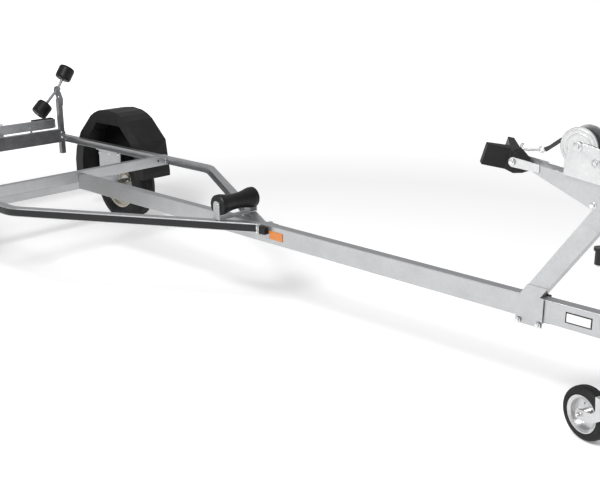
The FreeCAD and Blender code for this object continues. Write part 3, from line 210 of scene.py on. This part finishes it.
def webbing(name, dark, light):
    """Woven strap: fine diagonal ribs."""
    material, tree, shader = new_material(name)
    weave = tree.nodes.new("ShaderNodeTexWave")
    weave.wave_type = "BANDS"
    weave.bands_direction = "DIAGONAL"
    weave.inputs["Scale"].default_value = 150.0
    weave.inputs["Distortion"].default_value = 0.6
    tree.links.new(coordinates(tree), weave.inputs["Vector"])
    tree.links.new(ramp(tree, weave.outputs["Fac"], [(0.2, dark), (0.9, light)]), shader.inputs["Base Color"])
    shader.inputs["Roughness"].default_value = 0.72
    bump(tree, shader, weave.outputs["Fac"], 0.0005, 0.5)
    return material


GALVANISED = metal("galvanised", (0.41, 0.415, 0.42), (0.475, 0.48, 0.485), 0.28, 0.42, 0.88)
ROUGH_ZINC = metal("rough_zinc", (0.18, 0.185, 0.19), (0.32, 0.325, 0.33), 0.36, 0.55, 0.88)
ZINC = metal("zinc_plated", (0.50, 0.505, 0.51), (0.64, 0.64, 0.64), 0.24, 0.40, 0.88, 160.0)
RIM_ZINC = metal("rim_zinc", (0.50, 0.47, 0.38), (0.68, 0.65, 0.56), 0.28, 0.46, 0.80, 120.0)
BOLT = metal("bolt_steel", (0.55, 0.55, 0.55), (0.78, 0.78, 0.77), 0.20, 0.36, 0.90, 300.0)
PROFILE = metal("aluminium_profile", (0.42, 0.43, 0.44), (0.54, 0.55, 0.56), 0.30, 0.45, 0.80)
# Darker steel painted in as the shade under the rear cross-member's channel.
PAINTED_SHADE_STEEL = metal("shaded_steel", (0.11, 0.11, 0.115), (0.17, 0.17, 0.175), 0.40, 0.55, 0.60)
TYRE = rubber("tyre_rubber", (0.007, 0.007, 0.0075), (0.014, 0.014, 0.015), 0.55, 0.75)
ROLLER = rubber("roller_rubber", (0.0025, 0.0025, 0.003), (0.007, 0.007, 0.0075), 0.35, 0.50, 420.0)
# Black plastic; the same material also serves as painted shade for the holes in the rims and the cross-member.
BLACK_PLASTIC_AND_HOLE_SHADE = rubber("black_plastic", (0.0045, 0.0045, 0.005), (0.009, 0.009, 0.0095), 0.40, 0.55, 500.0)
BAND = rubber("dark_band", (0.011, 0.011, 0.012), (0.014, 0.014, 0.015), 0.30, 0.36, 300.0, 0.00003)
KNOB = rubber("knob_plastic", (0.009, 0.009, 0.009), (0.016, 0.016, 0.016), 0.24, 0.36, 600.0, 0.0001)
RED_LENS = lens("red_lamp", (0.30, 0.008, 0.006), (0.62, 0.035, 0.02), 160.0)
AMBER_LENS = lens("amber_reflector", (0.42, 0.11, 0.004), (0.72, 0.24, 0.012), 220.0)
BLANK_PLATE = rubber("plate_blank", (0.70, 0.70, 0.68), (0.80, 0.80, 0.78), 0.30, 0.40, 300.0, 0.0001)
STRAP = webbing("strap_webbing", (0.008, 0.008, 0.009), (0.045, 0.045, 0.047))

SLOT_MATERIALS = {
    "galvanised": GALVANISED, "zinc_plated": ZINC, "rim_zinc": RIM_ZINC, "tyre_rubber": TYRE,
    "aluminium_profile": PROFILE, "roller_rubber": ROLLER, "black_plastic": BLACK_PLASTIC_AND_HOLE_SHADE, "red_lamp": RED_LENS,
    "amber_reflector": AMBER_LENS, "plate_blank": BLANK_PLATE, "strap_webbing": STRAP,
}


def paint_cad():
    """Give every CAD node the material of its slot, and some of their faces another."""
    for entry in frame["record"]["subparts"]:
        node = frame["nodes"][entry["node"]]
        node.data.materials.clear()
        node.data.materials.append(SLOT_MATERIALS[entry["material_slot"]])
    for name in ("support_post_left", "support_post_right", "rocker_left", "rocker_right"):
        frame["nodes"][name].data.materials[0] = ROUGH_ZINC
    frame["nodes"]["jockey_rim"].data.materials[0] = ZINC
    # Faces of the rear cross-member below its channel's floor get painted shade: the darker steel stands for the
    # shade there.
    paint_faces("cross_member_rear", PAINTED_SHADE_STEEL, lambda centre, normal: centre.z < CHANNEL_FLOOR)
    for name in ("tail_lamp_left", "tail_lamp_right"):
        paint_faces(name, BLACK_PLASTIC_AND_HOLE_SHADE, lambda centre, normal: normal.x > -0.5)
    paint_faces("jockey_crank", KNOB, lambda centre, normal: centre.z > GRIP_FOOT)
    paint_faces("winch_crank", KNOB, lambda centre, normal: centre.y > CRANK_GRIP_Y and abs(normal.y) < 0.99)


def paint_faces(name, material, chosen):
    """Give the faces of a node that are chosen, in the trailer's own frame, another material."""
    data = frame["nodes"][name].data
    data.materials.append(material)
    back = STAND.inverted()
    turn = back.to_3x3()
    for face in data.polygons:
        if chosen(back @ face.center, turn @ face.normal):
            face.material_index = 1


BEVELS = {
    "drawbar_tube": 0.004, "side_rail_left": 0.0012, "side_rail_right": 0.0012, "cross_member_middle": 0.0015,
    "cross_member_rear": 0.002, "winch_post": 0.0012, "winch_arm": 0.0012, "winch_frame": 0.001,
    "post_clamp_left": 0.002, "post_clamp_right": 0.002, "axle_beam": 0.005, "light_board": 0.003,
    "tail_lamp_left": 0.008, "tail_lamp_right": 0.008, "bow_stop": 0.003, "jockey_clamp": 0.0015,
    "coupling_head": 0.002, "mudguard_left": 0.0018, "mudguard_right": 0.0018, "rail_end_caps": 0.003,
    "side_reflectors": 0.0015, "jockey_crank": 0.0015, "coupling_lever": 0.002, "support_post_left": 0.001,
    "support_post_right": 0.001, "axle_bracket_left": 0.0015, "axle_bracket_right": 0.0015,
}


def soften_edges():
    """Small rounds on the edges of the frame's pieces."""
    for name, width in BEVELS.items():
        node = frame["nodes"][name]
        weld = node.modifiers.new("weld", "WELD")
        weld.merge_threshold = 0.00002
        bevel = node.modifiers.new("bevel", "BEVEL")
        bevel.width = width
        bevel.segments = 2
        bevel.limit_method = "ANGLE"
        bevel.angle_limit = math.radians(35)
        bevel.harden_normals = True


# Mesh building. Every function adds faces to one bmesh, in the trailer's frame.

def to_axis(direction):
    return Vector(direction).to_track_quat("Z", "Y").to_matrix().to_4x4()


def circle(radius, height, segments):
    """Points of a circle about the Z axis."""
    angles = [2 * math.pi * step / segments for step in range(segments)]
    return [Vector((radius * math.cos(angle), radius * math.sin(angle), height)) for angle in angles]


def join_rings(mesh, low, high):
    """Quads between two rings of vertices, or a fan where one of them is a single point."""
    segments = max(len(low), len(high))
    for step in range(segments):
        after = (step + 1) % segments
        if len(low) == 1:
            mesh.faces.new((low[0], high[after], high[step]))
        elif len(high) == 1:
            mesh.faces.new((low[step], low[after], high[0]))
        else:
            mesh.faces.new((low[step], low[after], high[after], high[step]))


def add_lathe(mesh, centre, direction, profile, segments=24):
    """Turned shape from (radius, height) points about an axis."""
    turn = Matrix.Translation(centre) @ to_axis(direction)
    rings = []
    for radius, height in profile:
        points = circle(radius, height, segments) if radius > 1e-6 else [Vector((0, 0, height))]
        rings.append([mesh.verts.new(turn @ point) for point in points])
    for low, high in zip(rings, rings[1:]):
        if len(low) > 1 or len(high) > 1:
            join_rings(mesh, low, high)


def add_disc(mesh, centre, direction, radius, thick, segments=20):
    """Flat round plate."""
    add_lathe(mesh, centre, direction, [(0, 0), (radius, 0), (radius, thick), (0, thick)], segments)


def add_rod(mesh, start, direction, radius, length, segments=20):
    edge = min(radius, length) * 0.08
    add_lathe(mesh, start, direction, [(0, 0), (radius - edge, 0), (radius, edge), (radius, length - edge),
                                       (radius - edge, length), (0, length)], segments)


def add_bolt(mesh, centre, direction, size, height=0.6, stub=0.0):
    """Hexagon head on a washer, sitting on a face and pointing out of it."""
    direction = Vector(direction).normalized()
    centre = Vector(centre)
    washer = size * 0.14
    add_lathe(mesh, centre, direction, [(0, 0), (size * 1.05, 0), (size * 1.05, washer * 0.7),
                                        (size * 0.98, washer), (0, washer)], 20)
    top = centre + direction * washer
    add_lathe(mesh, top, direction, [(0, 0), (size * 0.8, 0), (size * 0.8, size * height * 0.85),
                                     (size * 0.7, size * height), (0, size * height)], 6)
    if stub:
        add_rod(mesh, top + direction * size * height, direction, size * 0.42, stub, 12)


def add_bolts(mesh, rows, signs=(1, -1)):
    """Bolts from rows of place, direction, size, height and stub, for each side of the trailer."""
    for sign in signs:
        for (x, y, z), (dx, dy, dz), size, height, stub in rows:
            add_bolt(mesh, (x, sign * y, z), (dx, sign * dy, dz), size, height, stub)


def add_box(mesh, low, high):
    low, high = Vector(low), Vector(high)
    made = bmesh.ops.create_cube(mesh, size=1.0)
    matrix = Matrix.Translation((low + high) / 2) @ Matrix.Diagonal((*(high - low), 1.0))
    bmesh.ops.transform(mesh, matrix=matrix, verts=made["verts"])


def close_rows(mesh, rows):
    """Skin over rows of vertices, with a cap at each end."""
    for low, high in zip(rows, rows[1:]):
        join_rings(mesh, low, high)
    mesh.faces.new(rows[0][::-1])
    mesh.faces.new(rows[-1])


def heading(points, index):
    """Unit direction of a path at one of its points."""
    before = points[max(index - 1, 0)]
    after = points[min(index + 1, len(points) - 1)]
    return (after - before).normalized()


def add_strip(mesh, path, half_width, thickness, side=(0, 1, 0)):
    """Flat band along a path: its width runs along side."""
    side = Vector(side).normalized()
    across = side * half_width
    rows = []
    for index, point in enumerate(path):
        normal = heading(path, index).cross(side).normalized() * thickness / 2
        corners = (point + across + normal, point - across + normal,
                   point - across - normal, point + across - normal)
        rows.append([mesh.verts.new(corner) for corner in corners])
    close_rows(mesh, rows)


def finish_piece(mesh, name, material, body, bevel=0.0):
    """Turn the bmesh into a piece that stands with the trailer and rides on a body."""
    bmesh.ops.recalc_face_normals(mesh, faces=mesh.faces)
    bmesh.ops.transform(mesh, matrix=STAND, verts=mesh.verts)
    data = bpy.data.meshes.new(name)
    for face in mesh.faces:
        face.smooth = True
    for edge in mesh.edges:
        edge.smooth = edge.calc_face_angle(0.0) < math.radians(38)
    mesh.to_mesh(data)
    mesh.free()
    piece = bpy.data.objects.new(name, data)
    bpy.context.scene.collection.objects.link(piece)
    data.materials.append(material)
    if bevel:
        modifier = piece.modifiers.new("bevel", "BEVEL")
        modifier.width = bevel
        modifier.segments = 2
        modifier.limit_method = "ANGLE"
        modifier.angle_limit = math.radians(40)
    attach(piece, body)
    return piece


# Road wheels

def add_tread_tyre(mesh, centre, direction, outline, steps, depth):
    """Tyre from rings of (radius, height, whether blocks are cut), closed into a tube."""
    turn = Matrix.Translation(centre) @ to_axis(direction)
    rings = []
    for radius, height, block in outline:
        ring = []
        for step, point in enumerate(circle(1.0, 0.0, steps)):
            sunk = block and (step // 2 + block) % 2
            reach = radius - depth if sunk else radius
            ring.append(mesh.verts.new(turn @ Vector((reach * point.x, reach * point.y, height))))
        rings.append(ring)
    for index, low in enumerate(rings):
        join_rings(mesh, low, rings[(index + 1) % len(rings)])


def both_halves(right):
    """A tyre's whole outline from that of its right half."""
    return right + [(radius, -height, block) for radius, height, block in reversed(right)]


ROAD_TYRE = both_halves([
    (0.2975, 0.0035, 0), (0.2979, 0.0160, 0), (0.2978, 0.0165, 0), (0.2915, 0.0175, 0), (0.2915, 0.0215, 0),
    (0.2978, 0.0225, 0), (0.2976, 0.0400, 0), (0.2915, 0.0410, 0), (0.2915, 0.0455, 0), (0.2973, 0.0465, 0),
    (0.2960, 0.0580, 1), (0.2925, 0.0700, 1), (0.2840, 0.0835, 1), (0.2720, 0.0925, 0), (0.2620, 0.0955, 0),
    (0.2450, 0.0975, 0), (0.2280, 0.0965, 0), (0.2120, 0.0900, 0), (0.2000, 0.0800, 0), (0.1935, 0.0718, 0),
    (0.1924, 0.0655, 0), (0.1778, 0.0617, 0),
])


def wheel_radial(angle):
    return Vector((math.cos(angle), 0, math.sin(angle)))


def make_road_wheels():
    for sign, side in SIDES:
        centre = Vector((WHEEL.x, sign * WHEEL.y, WHEEL.z))
        body = "wheel_" + side
        mesh = bmesh.new()
        add_tread_tyre(mesh, centre, OUTWARD, ROAD_TYRE, 66, 0.005)
        tyre = finish_piece(mesh, "treaded_tyre_" + side, TYRE, body)
        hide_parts("tyre_" + side)
        out = Vector((0, sign, 0))
        face = centre + out * 0.016
        mesh = bmesh.new()
        for step in range(5):
            radial = wheel_radial(2 * math.pi * step / 5 + 0.3)
            add_bolt(mesh, face + radial * 0.056, out, 0.0115, 0.9)
        add_rod(mesh, centre + wheel_radial(0.9) * 0.155 + out * 0.024, out, 0.0045, 0.03, 10)
        finish_piece(mesh, "wheel_nuts_" + side, BOLT, body)
        # Black discs painted on as the shade seen through the rim's vent holes.
        mesh = bmesh.new()
        for step in range(10):
            radial = wheel_radial(2 * math.pi * (step + 0.5) / 10)
            add_disc(mesh, centre + radial * 0.129 + out * 0.0163, out, 0.013, 0.0006)
        finish_piece(mesh, "rim_vent_shade_" + side, BLACK_PLASTIC_AND_HOLE_SHADE, body)


# Frame trim

def rail_side_path(sign):
    """Line along the middle of a rail's outer face, round its bend and in to the drawbar."""
    proud = 0.0005
    angle = math.atan2(RAIL_SIDE - DRAWBAR_SIDE, RAIL_END_X - RAIL_CORNER_X)
    centre_x = RAIL_CORNER_X - RAIL_BEND_RADIUS * math.tan(angle / 2)
    centre_y = RAIL_SIDE - RAIL_BEND_RADIUS
    radius = RAIL_BEND_RADIUS + proud
    points = [Vector((RAIL_REAR_X, RAIL_SIDE + proud, RAIL_MIDDLE_Z))]
    for step in range(13):
        turn = angle * step / 12
        points.append(Vector((centre_x + radius * math.sin(turn), centre_y + radius * math.cos(turn),
                              RAIL_MIDDLE_Z)))
    last = points[-1]
    run = (last.y - DRAWBAR_SIDE - 0.006) / math.sin(angle)
    points.append(last + Vector((math.cos(angle), -math.sin(angle), 0)) * run)
    return [Vector((point.x, sign * point.y, point.z)) for point in points]


def make_rail_trim():
    """Long dark band stuck to each rail's outer face, with the bare metal showing above and below."""
    for sign, side in SIDES:
        mesh = bmesh.new()
        add_strip(mesh, rail_side_path(sign), 0.0195, 0.0007, side=UP)
        finish_piece(mesh, "rail_band_" + side, BAND, "chassis")
    mesh = bmesh.new()
    add_bolts(mesh, [
        ((1.790, 0.055, -0.018), OUTWARD, 0.0085, 0.55, 0.0),
        ((1.790, 0.055, -0.042), OUTWARD, 0.0085, 0.55, 0.0),
        ((1.300, 0.290, -0.055), DOWN, 0.010, 0.6, 0.012),
        ((-0.050, RAIL_SIDE, -0.030), OUTWARD, 0.009, 0.5, 0.0),
        ((0.010, RAIL_SIDE, -0.030), OUTWARD, 0.009, 0.5, 0.0),
    ])
    add_bolts(mesh, [((1.620, 0.0, -0.100), DOWN, 0.010, 0.6, 0.0),
                     ((1.700, 0.0, -0.100), DOWN, 0.010, 0.6, 0.0)], signs=(1,))
    finish_piece(mesh, "frame_bolts", BOLT, "chassis")


def make_cross_member_trim():
    mesh = bmesh.new()
    # Black discs painted on as the shade seen through the cross-member's holes.
    for sign, _ in SIDES:
        add_disc(mesh, (0.0001, sign * 0.66, -0.015), AHEAD, 0.0075, 0.0005)
    finish_piece(mesh, "cross_member_hole_shade", BLACK_PLASTIC_AND_HOLE_SHADE, "chassis")
    mesh = bmesh.new()
    add_bolts(mesh, [
        ((0.0, 0.728, -0.030), AHEAD, 0.007, 0.5, 0.0),
        ((0.0, 0.728, -0.010), AHEAD, 0.007, 0.5, 0.0),
        ((-0.046, 0.060, -0.020), BACK, 0.008, 0.5, 0.0),
        ((-0.046, 0.090, -0.020), BACK, 0.008, 0.5, 0.0),
    ])
    add_bolts(mesh, [
        ((REAR_POST_X, RAIL_SIDE, -0.035), OUTWARD, 0.008, 0.6, 0.006),
        ((-1.480, 0.763, -0.029), AHEAD, 0.0075, 0.6, 0.004),
        ((REAR_POST_X, RAIL_SIDE, 0.008), OUTWARD, 0.008, 0.6, 0.006),
        ((-1.480, 0.763, 0.014), AHEAD, 0.0075, 0.6, 0.004),
    ])
    finish_piece(mesh, "cross_member_bolts", BOLT, "chassis")


def make_axle_trim():
    mesh = bmesh.new()
    add_bolts(mesh, [
        ((-0.930, BRACKET_SIDE, -0.090), INWARD, 0.010, 0.6, 0.008),
        ((-0.800, BRACKET_SIDE, -0.090), INWARD, 0.010, 0.6, 0.008),
        ((-0.680, BRACKET_SIDE, -0.090), INWARD, 0.010, 0.6, 0.008),
        ((-0.860, BRACKET_SIDE, -0.215), INWARD, 0.009, 0.6, 0.0),
        ((-0.790, BRACKET_SIDE, -0.215), INWARD, 0.009, 0.6, 0.0),
        ((-0.660, RAIL_SIDE, -0.022), OUTWARD, 0.008, 0.5, 0.0),
    ])
    finish_piece(mesh, "axle_bolts", BOLT, "chassis")


# Lights

def make_light_trim():
    """Ribs of the board and lamps, amber turn lenses, and the screws of the blank plate."""
    mesh = bmesh.new()
    for z in (0.066, 0.114):
        add_box(mesh, (LIGHT_BOARD_X + 0.025, -0.735, z - 0.004), (LIGHT_BOARD_X + 0.028, 0.735, z + 0.004))
    finish_piece(mesh, "light_board_ribs", PROFILE, "chassis", bevel=0.001)
    for sign, side in SIDES:
        centre_y = sign * LAMP_Y
        low_x = LIGHT_BOARD_X - 0.0415
        mesh = bmesh.new()
        for dy in (-0.034, 0.034):
            add_box(mesh, (low_x, centre_y + dy - 0.0012, 0.048),
                    (low_x + 0.002, centre_y + dy + 0.0012, 0.132))
        finish_piece(mesh, "lamp_ribs_" + side, BLACK_PLASTIC_AND_HOLE_SHADE, "chassis")
        mesh = bmesh.new()
        inner = centre_y - sign * 0.067
        add_box(mesh, (low_x - 0.0002, inner - 0.030, 0.052), (low_x + 0.0012, inner + 0.030, 0.128))
        finish_piece(mesh, "turn_lens_" + side, AMBER_LENS, "chassis", bevel=0.0008)
    mesh = bmesh.new()
    for y in (-0.22, 0.22):
        add_lathe(mesh, (LIGHT_BOARD_X - 0.002, y, 0.09), BACK,
                  [(0, 0), (0.006, 0), (0.0055, 0.0025), (0, 0.003)], 16)
    finish_piece(mesh, "plate_screws", BOLT, "chassis")


# Side supports and keel rollers

def make_support_trim():
    mesh = bmesh.new()
    add_bolts(mesh, [
        ((REAR_POST_X, 0.750, -0.036), INWARD, 0.0085, 0.6, 0.006),
        ((REAR_POST_X, 0.750, 0.006), INWARD, 0.0085, 0.6, 0.006),
        ((-1.485, 0.770, 0.265), AHEAD, 0.008, 0.6, 0.0),
        ((-1.477, 0.758, 0.318), AHEAD, 0.007, 0.5, 0.0),
    ])
    finish_piece(mesh, "support_bolts", BOLT, "chassis")
    mesh = bmesh.new()
    for sign, _ in SIDES:
        add_disc(mesh, (REAR_POST_X, sign * 0.775, -0.1705), UP, 0.014, 0.002, 4)
    finish_piece(mesh, "post_end_plugs", BLACK_PLASTIC_AND_HOLE_SHADE, "chassis")


def make_keel_trim():
    mesh = bmesh.new()
    for x, foot in ((FRONT_KEEL_X, 0.0), (REAR_KEEL_X, REAR_KEEL_Z)):
        add_bolts(mesh, [((x, 0.1424, foot + 0.080), OUTWARD, 0.012, 0.5, 0.0)])
    add_bolts(mesh, [((FRONT_KEEL_X, -0.045, 0.006), UP, 0.007, 0.5, 0.0)])
    finish_piece(mesh, "keel_bracket_bolts", BOLT, "chassis")


# Winch, its post and the bow stop

def make_winch_trim():
    """Bolts of the post, arm and bow stop, bushes of the winch and ridges of its drum."""
    mesh = bmesh.new()
    add_bolts(mesh, [
        ((3.335, 0.041, -0.113), OUTWARD, 0.012, 0.6, 0.0),
        ((3.425, 0.041, -0.113), OUTWARD, 0.012, 0.6, 0.0),
        ((3.607, 0.034, 0.424), OUTWARD, 0.013, 0.7, 0.0),
        ((3.262, 0.047, 0.545), OUTWARD, 0.012, 0.5, 0.0),
        ((3.515, 0.040, 0.534), UP, 0.007, 0.5, 0.0),
        ((3.675, 0.040, 0.5116), UP, 0.007, 0.5, 0.0),
    ])
    finish_piece(mesh, "winch_bolts", BOLT, "chassis")
    mesh = bmesh.new()
    for sign, _ in SIDES:
        face = Vector((0, sign * 0.054, 0))
        add_lathe(mesh, CRANK + face, (0, sign, 0),
                  [(0.0075, 0), (0.017, 0), (0.017, 0.003), (0.013, 0.004), (0.012, 0.0015),
                   (0.0075, 0.0015)], 28)
        add_lathe(mesh, DRUM + face, (0, sign, 0),
                  [(0.0085, 0), (0.018, 0), (0.018, 0.002), (0.016, 0.003), (0.0085, 0.003)], 28)
    finish_piece(mesh, "winch_bushes", ZINC, "chassis")
    mesh = bmesh.new()
    for sign, _ in SIDES:
        for radius in (0.064, 0.048):
            add_lathe(mesh, DRUM + Vector((0, sign * 0.0448, 0)), (0, sign, 0),
                      [(radius - 0.0035, 0), (radius - 0.0015, 0.0016), (radius + 0.0015, 0.0016),
                       (radius + 0.0035, 0)], 56)
    finish_piece(mesh, "drum_ridges", ZINC, "winch_drum")


def make_wound_strap():
    """Strap wound in layers round the drum's core."""
    mesh = bmesh.new()
    path = []
    turns, steps = 9, 360
    inner, outer = 0.0262, 0.0602
    for step in range(steps + 1):
        share = step / steps
        radius = inner + (outer - inner) * share
        path.append(DRUM + wheel_radial(2 * math.pi * turns * share) * radius)
    add_strip(mesh, path, 0.0198, 0.0034)
    strap = finish_piece(mesh, "wound_strap_layers", STRAP, "winch_drum")
    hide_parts("wound_strap")


def make_strap_run():
    """Strap from the drum to the hook's eye, gathered from its full width to a narrow loop."""
    mesh = bmesh.new()
    narrow, slope = 0.0078, 0.0117
    knots = [((3.4963, 0.6958), 0.0195), ((3.4700, 0.6740), 0.0175), ((3.4450, 0.6550), 0.0120),
             ((3.4200, 0.6345), 0.0100), ((3.4040, 0.6215), 0.0110), ((3.3805, 0.6065), narrow)]
    path = [Vector((x, 0, z)) for (x, z), _ in knots]
    rows = []
    for index, point in enumerate(path):
        half = knots[index][1]
        normal = heading(path, index).cross(Vector((0, 1, 0))).normalized()
        thick = 0.0016 + 0.0062 * (1 - (half - narrow) / slope)
        rows.append([mesh.verts.new(point + Vector((0, w * half, 0)) + normal * t * thick)
                     for w, t in ((-1, -1), (0, -1.2), (1, -1), (1, 1), (0, 1.2), (-1, 1))])
    close_rows(mesh, rows)
    strap = finish_piece(mesh, "strap_loop", STRAP, "chassis")
    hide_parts("strap_run")


# Jockey wheel, coupling and plates

JOCKEY_SPIN = Vector((math.sin(JOCKEY_TURN), math.cos(JOCKEY_TURN), 0))
JOCKEY_WHEEL = JOCKEY + Vector((-JOCKEY_TRAIL * math.cos(JOCKEY_TURN), JOCKEY_TRAIL * math.sin(JOCKEY_TURN),
                                -JOCKEY_DROP))
JOCKEY_TYRE = both_halves([
    (0.1120, 0.0035, 0), (0.1118, 0.0100, 0), (0.1085, 0.0108, 0), (0.1085, 0.0125, 0), (0.1112, 0.0135, 0),
    (0.1095, 0.0200, 0), (0.1060, 0.0262, 0), (0.0995, 0.0303, 0), (0.0905, 0.0310, 0), (0.0825, 0.0307, 0),
    (0.0790, 0.0276, 0), (0.0786, 0.0272, 0), (0.0705, 0.0199, 0),
])


def make_jockey_trim():
    """Bolts of the clamp, nuts of the fork and bolts of the small wheel's rim."""
    mesh = bmesh.new()
    add_bolts(mesh, [
        ((3.753, -0.125, -0.085), INWARD, 0.009, 0.6, 0.008),
        ((3.753, -0.125, -0.010), INWARD, 0.009, 0.6, 0.008),
        ((3.700, -0.033, -0.030), INWARD, 0.009, 0.6, 0.0),
        ((3.700, -0.033, -0.085), INWARD, 0.009, 0.6, 0.0),
        ((3.830, -0.033, -0.030), INWARD, 0.009, 0.6, 0.0),
        ((3.830, -0.033, -0.085), INWARD, 0.009, 0.6, 0.0),
    ], signs=(1,))
    finish_piece(mesh, "jockey_clamp_bolts", BOLT, "chassis")
    mesh = bmesh.new()
    for sign, _ in SIDES:
        add_bolt(mesh, JOCKEY_WHEEL + JOCKEY_SPIN * sign * 0.042, JOCKEY_SPIN * sign, 0.0135, 0.7, 0.004)
    finish_piece(mesh, "fork_nuts", BOLT, "jockey_fork")
    mesh = bmesh.new()
    rolling = Vector((-JOCKEY_SPIN.y, JOCKEY_SPIN.x, 0))
    for sign, _ in SIDES:
        for step in range(5):
            angle = 2 * math.pi * step / 5
            radial = rolling * math.cos(angle) + Vector(UP) * math.sin(angle)
            add_bolt(mesh, JOCKEY_WHEEL + radial * 0.040 + JOCKEY_SPIN * sign * 0.006, JOCKEY_SPIN * sign,
                     0.0065, 0.8)
    finish_piece(mesh, "jockey_rim_bolts", BOLT, "jockey_wheel")


def make_jockey_tyre():
    mesh = bmesh.new()
    add_tread_tyre(mesh, JOCKEY_WHEEL, JOCKEY_SPIN, JOCKEY_TYRE, 64, 0.0)
    tyre = finish_piece(mesh, "grooved_jockey_tyre", TYRE, "jockey_wheel")
    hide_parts("jockey_tyre")


def make_plates():
    """Blank data plate with a dark border, on the drawbar's right side."""
    y = -DRAWBAR_SIDE - 0.0006
    mesh = bmesh.new()
    add_box(mesh, (3.534, y - 0.0004, -0.073), (3.645, y, -0.027))
    finish_piece(mesh, "data_plate_border", BLACK_PLASTIC_AND_HOLE_SHADE, "chassis")
    mesh = bmesh.new()
    add_box(mesh, (3.539, y - 0.0008, -0.068), (3.640, y - 0.0003, -0.032))
    finish_piece(mesh, "data_plate_face", BLANK_PLATE, "chassis")


# Floor, light and camera

def make_stage():
    """Wide pale floor, which keeps the shadow and fades to white far from the object."""
    mesh = bmesh.new()
    bmesh.ops.create_grid(mesh, x_segments=1, y_segments=1, size=60.0)
    data = bpy.data.meshes.new("studio_floor")
    mesh.to_mesh(data)
    mesh.free()
    floor = bpy.data.objects.new("studio_floor", data)
    floor.location.z = -0.0008
    bpy.context.scene.collection.objects.link(floor)
    material, tree, shader = new_material("floor_paper")
    tree.links.new(ramp(tree, noise(tree, 0.6, 2.0), [(0.0, (0.90, 0.90, 0.90)), (1.0, (0.92, 0.92, 0.92))]),
                   shader.inputs["Base Color"])
    shader.inputs["Roughness"].default_value = 0.9
    shader.inputs["Specular IOR Level"].default_value = 0.1
    seen = light_path_sum(tree)
    glow = tree.nodes.new("ShaderNodeEmission")
    glow.inputs["Color"].default_value = (1, 1, 1, 1)
    away = tree.nodes.new("ShaderNodeVectorMath")
    away.operation = "LENGTH"
    tree.links.new(coordinates(tree), away.inputs[0])
    lift = span(tree, away.outputs["Value"], FLOOR_LIFT, FAR_FLOOR_LIFT)
    lift.node.inputs["From Min"].default_value = LIFT_FROM
    lift.node.inputs["From Max"].default_value = LIFT_TO
    scaled = tree.nodes.new("ShaderNodeMath")
    scaled.operation = "MULTIPLY"
    tree.links.new(lift, scaled.inputs[1])
    tree.links.new(seen, scaled.inputs[0])
    tree.links.new(scaled.outputs["Value"], glow.inputs["Strength"])
    both = tree.nodes.new("ShaderNodeAddShader")
    tree.links.new(shader.outputs["BSDF"], both.inputs[0])
    tree.links.new(glow.outputs["Emission"], both.inputs[1])
    tree.links.new(both.outputs["Shader"], tree.nodes["Material Output"].inputs["Surface"])
    data.materials.append(material)


def light_path_sum(tree):
    """1 for camera, glossy and transmission rays, else 0."""
    path = tree.nodes.new("ShaderNodeLightPath")
    total = path.outputs["Is Camera Ray"]
    for name in ("Is Glossy Ray", "Is Transmission Ray"):
        node = tree.nodes.new("ShaderNodeMath")
        node.operation = "MAXIMUM"
        tree.links.new(total, node.inputs[0])
        tree.links.new(path.outputs[name], node.inputs[1])
        total = node.outputs["Value"]
    return total


def make_world():
    """White for the camera; a grey studio above the horizon for reflections."""
    world = bpy.data.worlds.new("studio")
    world.use_nodes = True
    bpy.context.scene.world = world
    tree = world.node_tree
    background = tree.nodes["Background"]
    place = tree.nodes.new("ShaderNodeTexCoord")
    split = tree.nodes.new("ShaderNodeSeparateXYZ")
    tree.links.new(place.outputs["Generated"], split.inputs["Vector"])
    level = span(tree, split.outputs["Z"], 0.0, 1.0)
    level.node.inputs["From Min"].default_value = -1.0
    level.node.inputs["From Max"].default_value = 1.0
    sky = ramp(tree, level, [(0.0, (1, 1, 1)), (0.500, (0.85, 0.85, 0.85)), (0.55, (0.42, 0.42, 0.43)),
                             (0.75, (0.45, 0.45, 0.46)), (1.0, (0.75, 0.75, 0.75))])
    seen = tree.nodes.new("ShaderNodeLightPath")
    white = tree.nodes.new("ShaderNodeMix")
    white.data_type = "RGBA"
    white.inputs["B"].default_value = (1, 1, 1, 1)
    tree.links.new(seen.outputs["Is Camera Ray"], white.inputs["Factor"])
    tree.links.new(sky, white.inputs["A"])
    tree.links.new(white.outputs["Result"], background.inputs["Color"])
    background.inputs["Strength"].default_value = 1.0


def add_lamp(name, place, target, size, power):
    data = bpy.data.lights.new(name, "AREA")
    data.shape = "SQUARE"
    data.size = size
    data.energy = power
    lamp = bpy.data.objects.new(name, data)
    lamp.location = place
    lamp.rotation_euler = (Vector(target) - Vector(place)).to_track_quat("-Z", "Y").to_euler()
    bpy.context.scene.collection.objects.link(lamp)


def make_lamps():
    add_lamp("key_lamp", (1.5, -4.6, 5.4), (0.3, 0.2, 0.3), 2.2, 440.0)


def make_camera():
    """Camera as in the picture; the small shift is what its framing needs."""
    data = bpy.data.cameras.new("camera")
    data.sensor_fit = "HORIZONTAL"
    data.sensor_width = SENSOR_WIDTH
    data.lens = FOCAL_PIXELS / PICTURE_WIDTH * SENSOR_WIDTH
    data.shift_x, data.shift_y = CAMERA_SHIFT
    data.clip_start = 0.05
    data.clip_end = 200.0
    camera = bpy.data.objects.new("camera", data)
    camera.matrix_world = Matrix.Translation(CAMERA_PLACE) @ Matrix(CAMERA_TURN).to_4x4()
    bpy.context.scene.collection.objects.link(camera)
    bpy.context.scene.camera = camera


paint_cad()
soften_edges()
make_road_wheels()
make_rail_trim()
make_cross_member_trim()
make_axle_trim()
make_light_trim()
make_support_trim()
make_keel_trim()
make_winch_trim()
make_wound_strap()
make_strap_run()
make_jockey_trim()
make_jockey_tyre()
make_plates()
make_stage()
make_world()
make_lamps()
make_camera()
bpy.context.scene.view_settings.view_transform = "Standard"
